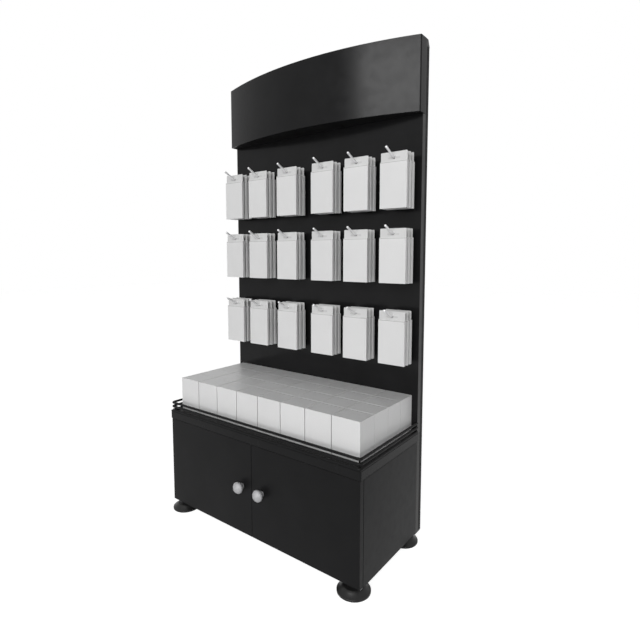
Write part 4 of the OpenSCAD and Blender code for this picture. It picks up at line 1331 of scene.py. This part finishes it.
@dataclass
class BackWall(Assembly):
    """The tall panel and the tube frame behind it."""

    panel_edge: float = 1.0 * MM
    cap_edge: float = 0.8 * MM
    tube_round: float = 2.6 * MM
    tube_steps: int = 5
    tube_wear: float = 0.6
    tube_least: float = 300.0 * MM
    tube_skin: float = 0.2 * MM
    tube_turn: float = 60.0
    socket_radius: float = 2.45 * MM
    socket_top: float = 0.2 * MM
    socket_floor: float = 0.9 * MM
    socket_around: int = 24
    key_radius: float = 1.7 * MM
    band_thickness: float = 0.5 * MM
    band_seat: float = 0.3 * MM
    band_inset: float = 0.7 * MM
    band_round: float = 0.35 * MM
    band_slot: str = "black_plastic"

    def edge_bands(self) -> None:
        """Glues a plastic edge band to each side of the panel, from the counter up to the header."""
        low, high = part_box("back_panel")
        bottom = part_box("counter_top")[1].z
        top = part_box("header_shell")[0].z - self.band_inset
        front, rear = low.y + self.band_inset, high.y - self.band_inset
        shape = bmesh.new()
        for side in (-1, 1):
            near, far = sorted((side * (high.x - self.band_seat), side * (high.x + self.band_thickness)))
            block(shape, (near, front, bottom), (far, rear, top))
        round_edges(shape, self.band_round, steps=2)
        self.hand_over("panel_edge_bands", shape, self.band_slot)

    def round_tube(self, node: str) -> None:
        """Rounds the four long corners of each tube of a node.

        Args:
            node: The node's name.
        """
        low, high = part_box(node)

        def long_corner(edge: bmesh.types.BMEdge) -> bool:
            """Finds the long corners.

            Args:
                edge: An edge of the tubes.

            Returns:
                Whether it runs along the outer corner of a tube.
            """
            start, end = (vert.co for vert in edge.verts)
            depth = (start.y + end.y) / 2
            outer = min(abs(depth - low.y), abs(depth - high.y)) < self.tube_skin
            square = edge.calc_face_angle(0.0) > math.radians(self.tube_turn)
            return (start - end).length > self.tube_least and outer and square

        shape = merged_shape(node)
        round_chosen(shape, long_corner, self.tube_round, self.tube_steps, self.tube_wear, clamp=False)
        self.replace(node, shape)

    def key_sockets(self, node: str) -> None:
        """Puts a ring with a six-sided key hole into the recess of each screw head of a node.

        Args:
            node: The screws' node.
        """
        around, flat = self.socket_around, self.key_radius * math.cos(math.tau / 12)
        top, floor = -self.socket_top, -self.socket_floor
        outer = [ring_points(self.socket_radius, Vector((0.0, at, 0.0)), around, "y") for at in (top, floor)]
        key = [six_sided(flat, at, around) for at in (top, floor)]
        shape = bmesh.new()
        loft(shape, [outer[0], key[0], key[1], outer[1], outer[0]])
        places = [Vector(((low.x + high.x) / 2, high.y, (low.z + high.z) / 2)) for low, high in islands(node)]
        item = from_bmesh("key_socket", shape)
        self.repeat(node.removesuffix("s") + "_sockets", item, places, self.book.slots[node], seed=3)

    def build(self) -> None:
        """Softens and bands the panel, rounds the tubes' corners, and puts key sockets into screw heads."""
        self.soften("back_panel", self.panel_edge)
        self.edge_bands()
        for node in ("upright_left", "upright_right", "cross_rails"):
            self.round_tube(node)
        self.soften("upright_caps", self.cap_edge)
        for node in ("frame_screws", "panel_screws"):
            self.key_sockets(node)


@dataclass
class Header(Assembly):
    """The bow-fronted header: a strip bent round the front and both ends."""

    wall: float = 4.0 * MM
    bend_radius: float = 3.2 * MM
    bend_reach: float = 0.75
    bend_trim: float = 0.9
    bend_steps: int = 8
    edge_radius: float = 0.6 * MM
    rise: float = 73.4 * MM
    arc_steps: int = 96
    slot: str = "header_gloss"

    def path(self, low: Vector, high: Vector) -> list[Vector]:
        """Gives the middle line of the wall, from one end round the bow to the other.

        Args:
            low: The lowest corner of the shell.
            high: Its highest corner.

        Returns:
            The points, at the middle height.
        """
        half = high.x
        radius = (half * half + self.rise * self.rise) / (2 * self.rise)
        centre_y = low.y + radius
        height = (low.z + high.z) / 2
        middle, side = radius - self.wall / 2, half - self.wall / 2
        end_angle = math.asin(side / middle)
        corner = Vector((side, centre_y - middle * math.cos(end_angle), height))
        along_arc = Vector((-math.cos(end_angle), -math.sin(end_angle), 0.0))
        back = Vector((side, high.y, height))
        right = [back, *self.bend(corner, Vector((0.0, 1.0, 0.0)), along_arc)]
        trim = math.asin((side - self.bend_radius * self.bend_trim) / middle)
        arc = []
        for step in range(self.arc_steps + 1):
            angle = trim - 2 * trim * step / self.arc_steps
            arc.append(Vector((middle * math.sin(angle), centre_y - middle * math.cos(angle), height)))
        return right + arc + [Vector((-each.x, each.y, each.z)) for each in reversed(right)]

    def bend(self, corner: Vector, first: Vector, second: Vector) -> list[Vector]:
        """Rounds a corner of the path.

        Args:
            corner: The corner.
            first: The direction from it to the part before.
            second: The direction from it to the part after.

        Returns:
            The points of the round, in order.
        """
        reach = self.bend_radius * self.bend_reach
        start, end = corner + first * reach, corner + second * reach
        points = []
        for step in range(self.bend_steps + 1):
            share = step / self.bend_steps
            points.append(start * (1 - share) ** 2 + corner * (2 * share * (1 - share)) + end * share**2)
        return points

    def build(self) -> None:
        """Sweeps the shell."""
        low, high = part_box("header_shell")
        made = path_object("header_shell_piece", self.path(low, high))
        run_tree(
            made,
            self.trees.sweep,
            Round=False,
            Width=self.wall,
            Height=high.z - low.z,
            Corner_Radius=self.edge_radius,
            Finish=self.book.materials[self.slot],
        )
        commit(made, "stand", ["header_shell"])


@dataclass
class HookBank(Assembly):
    """What holds the hooks behind the panel: chamfered nuts, and threads on the tails."""

    hole_radius: float = 3.05 * MM
    hole_chamfer: float = 0.4 * MM
    chamfer: float = 0.8 * MM
    face_share: float = 0.97
    nut_around: int = 24
    thread_radius: float = 2.8 * MM
    thread_pitch: float = 1.0 * MM
    thread_end: float = 0.4 * MM
    slot: str = "zinc_hardware"

    def nut_shape(self, low: Vector, high: Vector) -> bmesh.types.BMesh:
        """Builds a nut with its hole along y, its middle at the origin.

        Args:
            low: The lowest corner of one nut's box.
            high: Its highest corner.

        Returns:
            The shape.
        """
        corner, half = (high.x - low.x) / 2, (high.y - low.y) / 2
        flat = corner * math.cos(math.radians(30.0))
        face, bore, around = flat * self.face_share, half - self.hole_chamfer, self.nut_around
        edge = half - self.chamfer
        rows = [
            six_sided(flat, depth, around, limit)
            for depth, limit in ((-half, face), (-edge, corner), (edge, corner), (half, face))
        ]
        slim, wide = self.hole_radius, self.hole_radius + self.hole_chamfer
        inner = [
            ring_points(radius, Vector((0.0, depth, 0.0)), around, "y")
            for depth, radius in ((half, wide), (bore, slim), (-bore, slim), (-half, wide))
        ]
        shape = bmesh.new()
        loft(shape, [*rows, *inner, rows[0]])
        return shape

    def build(self) -> None:
        """Puts a nut and the ridge of a thread on each tail."""
        boxes = islands("hook_nuts")
        places = [(low + high) / 2 for low, high in boxes]
        nut = from_bmesh("nut", self.nut_shape(*boxes[0]))
        self.repeat("hook_nuts_piece", nut, places, self.slot, seed=5, stands_for=["hook_nuts"])
        nut_end = boxes[0][1].y
        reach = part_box("hooks_top_row")[1].y - nut_end - self.thread_end
        ridge = run_tree(
            path_object("thread", [(0.0, 0.0, 0.0)]),
            self.trees.thread,
            Radius=self.thread_radius,
            Pitch=self.thread_pitch,
            Turns=reach / self.thread_pitch,
            Finish=self.book.materials[self.slot],
        )
        starts = [Vector((each.x, nut_end, each.z)) for each in places]
        self.repeat("hook_threads", ridge, starts, self.slot, seed=6)


@dataclass
class HangPacks(Assembly):
    """The hang packs of one row: a slim box with a punched hang tab let into its top."""

    row: str
    seed: int
    edge: float = 1.4 * MM
    tab_height: float = 31.0 * MM
    tab_seat: float = 0.5 * MM
    tab_inset: float = 0.8 * MM
    tab_front: float = 5.0 * MM
    tab_thickness: float = 1.2 * MM
    tab_corner: float = 3.0 * MM
    rod_drop: float = 17.0 * MM
    rod_radius: float = 4.0 * MM
    rod_gap: float = 0.1 * MM
    hole_radius: float = 5.0 * MM
    hole_points: int = 24
    slot_half_width: float = 23.0 * MM
    slot_half_height: float = 3.5 * MM
    slot_drop: float = 2.0 * MM
    slot_press: float = 0.4 * MM
    # Shares of painted shade: the tab's front, the pressed slot ends, and a band under the box's front edge.
    tab_shade: float = 0.16
    pressed_shade: float = 0.34
    fold_shade: float = 0.55
    fold_drop: float = 0.1 * MM
    fold_height: float = 2.0 * MM
    slot: str = "pack_card"

    def hang_slot(self, middle: float, punched: bool) -> list[Point]:
        """Gives the outline of the round hole, alone or with the slot that runs through it.

        Args:
            middle: The height of the hole's centre.
            punched: Whether the slot is taken in.

        Returns:
            The points, in order.
        """
        if not punched:
            last = self.hole_points - 1
            return arc_points((0.0, middle), self.hole_radius, 0.0, 360.0 * last / self.hole_points, last)
        level = middle - self.slot_drop
        reach = self.slot_half_width - self.slot_half_height
        rise = math.degrees(math.asin((self.slot_half_height - self.slot_drop) / self.hole_radius))
        right = arc_points((reach, level), self.slot_half_height, -90.0, 90.0, steps=8)
        crown = arc_points((0.0, middle), self.hole_radius, rise, 180.0 - rise, steps=12)
        left = arc_points((-reach, level), self.slot_half_height, 90.0, 270.0, steps=8)
        return right + crown + left

    def tab(self, shape: bmesh.types.BMesh, width: float, height: float) -> None:
        """Adds the tab: a sheet cut through for the rod, with the ends of its slot pressed in.

        Args:
            shape: The shape that gets it.
            width: The pack's width.
            height: The height of the pack with its tab.
        """
        half, ease = width / 2 - self.tab_inset, self.tab_corner
        bottom = height - self.tab_height - self.tab_seat
        outer = [(-half, bottom), (half, bottom)]
        outer += arc_points((half - ease, height - ease), ease, 0.0, 90.0, steps=5)
        outer += arc_points((-half + ease, height - ease), ease, 90.0, 180.0, steps=5)
        middle = height - self.rod_drop - self.hole_radius + self.rod_radius + self.rod_gap
        grey = shape.faces.layers.float["uncoated"]
        start = self.tab_front
        for punched, thickness in ((True, self.slot_press), (False, self.tab_thickness - self.slot_press)):
            loops = (outer, self.hang_slot(middle, punched))
            sheets = []
            for depth in (start, start + thickness):
                rings = [[shape.verts.new((x, depth, z)) for x, z in loop] for loop in loops]
                pairs = [(ring[at - 1], ring[at]) for ring in rings for at in range(len(ring))]
                edges = [shape.edges.new(pair) for pair in pairs]
                filled = bmesh.ops.triangle_fill(shape, use_beauty=True, use_dissolve=False, edges=edges)
                sheets.append(rings)
                # Painted shade: the tab's front a little darker, the floor of the pressed slot ends darker,
                # its back fully dark.
                shade = self.tab_shade if punched else self.pressed_shade if depth == start else 1.0
                for face in filled["geom"]:
                    if isinstance(face, bmesh.types.BMFace):
                        face[grey] = shade
            for front, back in zip(*sheets):
                for at in range(len(front)):
                    shape.faces.new((front[at - 1], front[at], back[at], back[at - 1]))
            start += thickness

    def box(self, shape: bmesh.types.BMesh, size: Vector) -> None:
        """Adds the box under the tab, with a band of painted shade under its upper front edge and its back
        painted dark as shade.

        Args:
            shape: The shape that gets it.
            size: The pack's width, depth and height with its tab.
        """
        top = size.z - self.tab_height
        block(shape, (-size.x / 2, 0.0, 0.0), (size.x / 2, size.y, top))
        round_edges(shape, self.edge)
        shade_band_top = top - self.edge - self.fold_drop
        for level in (shade_band_top, shade_band_top - self.fold_height):
            parts = shape.verts[:] + shape.edges[:] + shape.faces[:]
            bmesh.ops.bisect_plane(shape, geom=parts, plane_co=(0.0, 0.0, level), plane_no=(0.0, 0.0, 1.0))
        grey = shape.faces.layers.float.new("uncoated")
        marks = shape.faces.layers.float["edge"]
        # Painted shade: the back fully dark, to darken the gaps between packs, and a grey band under the
        # front edge.
        for face in shape.faces:
            middle = face.calc_center_median()
            if middle.y > size.y - self.edge:
                face[grey] = 1.0
            elif shade_band_top - self.fold_height < middle.z < shade_band_top and middle.y < self.edge:
                face[grey] = self.fold_shade
                face[marks] = 0.0

    def build(self) -> None:
        """Builds one pack and puts it on every place of the row."""
        node = f"packs_{self.row}_row"
        boxes = islands(node)
        size = boxes[0][1] - boxes[0][0]
        shape = bmesh.new()
        self.box(shape, size)
        self.tab(shape, size.x, size.z)
        bmesh.ops.recalc_face_normals(shape, faces=shape.faces)
        item = from_bmesh("pack", shape)
        places = [Vector(((low.x + high.x) / 2, low.y, low.z)) for low, high in boxes]
        self.repeat(node + "_piece", item, places, self.slot, self.seed, stands_for=[node])


@dataclass
class Cartons(Assembly):
    """The small cartons on the counter: a tuck-top box with its lid let in a little."""

    edge: float = 1.0 * MM
    side_joint: float = 1.4 * MM
    row_joint: float = 0.7 * MM
    seam_width: float = 0.25 * MM
    groove_width: float = 0.35 * MM
    lid_drop: float = 0.35 * MM
    lid_rise: float = 0.28 * MM
    slot: str = "carton_card"

    def carton_shape(self, size: Vector) -> bmesh.types.BMesh:
        """Builds one carton that stands on the origin.

        Args:
            size: Its width, depth and height.

        Returns:
            The shape.
        """
        shape = bmesh.new()
        half_x, half_y = size.x / 2 - self.side_joint, size.y / 2 - self.row_joint
        block(shape, (-half_x, -half_y, 0.0), (half_x, half_y, size.z))
        round_edges(shape, self.edge)
        marks = shape.faces.layers.float["edge"]
        top = max(shape.faces, key=lambda face: face.calc_center_median().z)
        for width, rise, wear in (
            (self.seam_width, 0.0, 0.5),
            (self.groove_width, -self.lid_drop, 1.0),
            (self.groove_width, self.lid_rise, 1.0),
        ):
            made = bmesh.ops.inset_region(shape, faces=[top], thickness=width, depth=rise)
            for face in made["faces"]:
                face[marks] = wear
        return shape

    def build(self) -> None:
        """Puts a carton on every place."""
        boxes = islands("cartons")
        low, high = boxes[0]
        item = from_bmesh("carton", self.carton_shape(high - low))
        places = [Vector(((a.x + b.x) / 2, (a.y + b.y) / 2, a.z)) for a, b in boxes]
        self.repeat("cartons_piece", item, places, self.slot, seed=11, stands_for=["cartons"])


# Studio


class LightUse(Enum):
    """What a light is for."""

    ALL = "shade and gloss"
    SHADE = "shade alone"
    GLOSS = "gloss alone"


@dataclass(frozen=True)
class Softbox:
    """A flat soft light: where it hangs, what it faces, its size in metres and its power in watts."""

    name: str
    place: tuple[float, float, float]
    aim: tuple[float, float, float]
    size: tuple[float, float]
    power: float
    use: LightUse = LightUse.ALL


SOFTBOXES: tuple[Softbox, ...] = (
    Softbox("key_light", (1.95, -6.20, 2.50), (0.0, 0.0, 1.10), (6.0, 5.0), 385.0),
    Softbox("side_light", (4.60, 0.30, 1.50), (0.0, 0.1, 0.95), (3.0, 2.2), 28.0, LightUse.SHADE),
    Softbox("header_light", (0.52, -2.80, 2.65), (0.30, 0.1, 1.62), (2.0, 0.9), 58.0, LightUse.GLOSS),
)


@dataclass
class Studio:
    """A white room: the floor and the backdrop, the soft lights, and the camera."""

    sky: float = 0.165
    floor_colour: Colour = (0.50, 0.50, 0.50)
    floor_tone: float = 0.99
    floor_roughness: float = 0.9
    floor_specular: float = 0.1
    floor_reach: float = 14.0
    floor_level: float = -0.2 * MM
    floor_glow: float = 0.88
    lens: float = 26.6
    sensor: float = 36.0
    shift: float = -0.0361
    clip: tuple[float, float] = (0.05, 60.0)
    eye: tuple[float, float, float] = (1.15707, -1.32168, 1.0310)
    pitch: float = 84.968
    yaw: float = 37.131

    @staticmethod
    def seen(wires: Wiring) -> Any:
        """Tells the rays that come from the camera and from glossy and clear surfaces.

        Args:
            wires: The wiring to add it to.

        Returns:
            A value of 1 for these rays, else 0.
        """
        rays = wires.add("ShaderNodeLightPath").outputs
        kinds = [rays[f"Is {kind} Ray"] for kind in ("Camera", "Glossy", "Transmission")]
        return wires.math("MINIMUM", wires.chain("ADD", *kinds), 1.0)

    def world(self) -> None:
        """Makes the white room, which lights diffuse surfaces less than it shows."""
        world = bpy.data.worlds.new("white_room")
        world.use_nodes = True
        bpy.context.scene.world = world
        wires = Wiring(world.node_tree)
        ground = world.node_tree.nodes["Background"].inputs
        ground["Color"].default_value = rgba((1.0, 1.0, 1.0))
        wires.join(ground, Strength=wires.spread(self.seen(wires), self.sky, 1.0))

    def floor(self) -> None:
        """Makes the pale floor, white to the eye where nothing shades it."""
        shape = bmesh.new()
        bmesh.ops.create_grid(shape, x_segments=8, y_segments=8, size=self.floor_reach)
        for vert in shape.verts:
            vert.co.z = self.floor_level
        floor = from_bmesh("studio_floor", shape)
        paint = bpy.data.materials.new("studio_floor_paint")
        paint.use_nodes = True
        wires = Wiring(paint.node_tree)
        shader = paint.node_tree.nodes["Principled BSDF"]
        shader.inputs["Roughness"].default_value = self.floor_roughness
        shader.inputs["Specular IOR Level"].default_value = self.floor_specular
        pale = tuple(value * self.floor_tone for value in self.floor_colour)
        tone = wires.blend(wires.noise(3.0, 2.0), rgba(pale), rgba(self.floor_colour))
        wires.join(shader.inputs, Base_Color=tone)
        glow = wires.math("MULTIPLY", self.seen(wires), self.floor_glow)
        light = wires.out("ShaderNodeEmission", {"Strength": glow})
        both = wires.out("ShaderNodeAddShader", {0: shader.outputs[0], 1: light})
        wires.join(paint.node_tree.nodes["Material Output"].inputs, Surface=both)
        floor.data.materials.append(paint)

    def softbox(self, light: Softbox) -> None:
        """Hangs one light.

        Args:
            light: Its place, size and power.
        """
        lamp = bpy.data.lights.new(light.name, "AREA")
        lamp.shape = "RECTANGLE"
        lamp.size, lamp.size_y = light.size
        lamp.energy = light.power
        holder = bpy.data.objects.new(light.name, lamp)
        holder.location = light.place
        aim = Vector(light.aim) - Vector(light.place)
        holder.rotation_euler = aim.to_track_quat("-Z", "Y").to_euler()
        holder.visible_camera = False
        holder.visible_diffuse = light.use is not LightUse.GLOSS
        holder.visible_glossy = light.use is not LightUse.SHADE
        bpy.context.scene.collection.objects.link(holder)

    def camera(self) -> None:
        """Places the camera where the photograph was taken from."""
        data = bpy.data.cameras.new("camera")
        data.sensor_width = self.sensor
        data.lens = self.lens
        data.shift_y = self.shift
        data.clip_start, data.clip_end = self.clip
        made = bpy.data.objects.new("camera", data)
        made.location = self.eye
        made.rotation_euler = (math.radians(self.pitch), 0.0, math.radians(self.yaw))
        bpy.context.scene.collection.objects.link(made)
        bpy.context.scene.camera = made

    def build(self) -> None:
        """Sets up the whole studio."""
        self.world()
        self.floor()
        for light in SOFTBOXES:
            self.softbox(light)
        self.camera()
        bpy.context.scene.view_settings.view_transform = "Standard"
        LOG.info("studio ready")


def clear_startup() -> None:
    """Removes the objects of Blender's startup file, which aren't part of the frame."""
    kept = set(frame["nodes"].values()) | set(frame["bodies"].values())
    for each in list(bpy.data.objects):
        if each not in kept:
            bpy.data.objects.remove(each)


def main() -> None:
    """Builds the finishes, the pieces and the studio, in that order."""
    logging.basicConfig(level=logging.INFO, format="%(name)s: %(message)s")
    clear_startup()
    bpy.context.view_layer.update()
    book = FinishBook()
    book.dress_nodes()
    trees = Trees()
    assemblies: list[Assembly] = [
        Cabinet(book, trees),
        *(Door(book, trees, side) for side in Side),
        Feet(book, trees),
        Gallery(book, trees),
        BackWall(book, trees),
        Header(book, trees),
        HookBank(book, trees),
        *(HangPacks(book, trees, row, seed) for row, seed in (("top", 21), ("middle", 22), ("bottom", 23))),
        Cartons(book, trees),
    ]
    for each in assemblies:
        each.build()
    Studio().build()


if __name__ == "__main__":
    main()
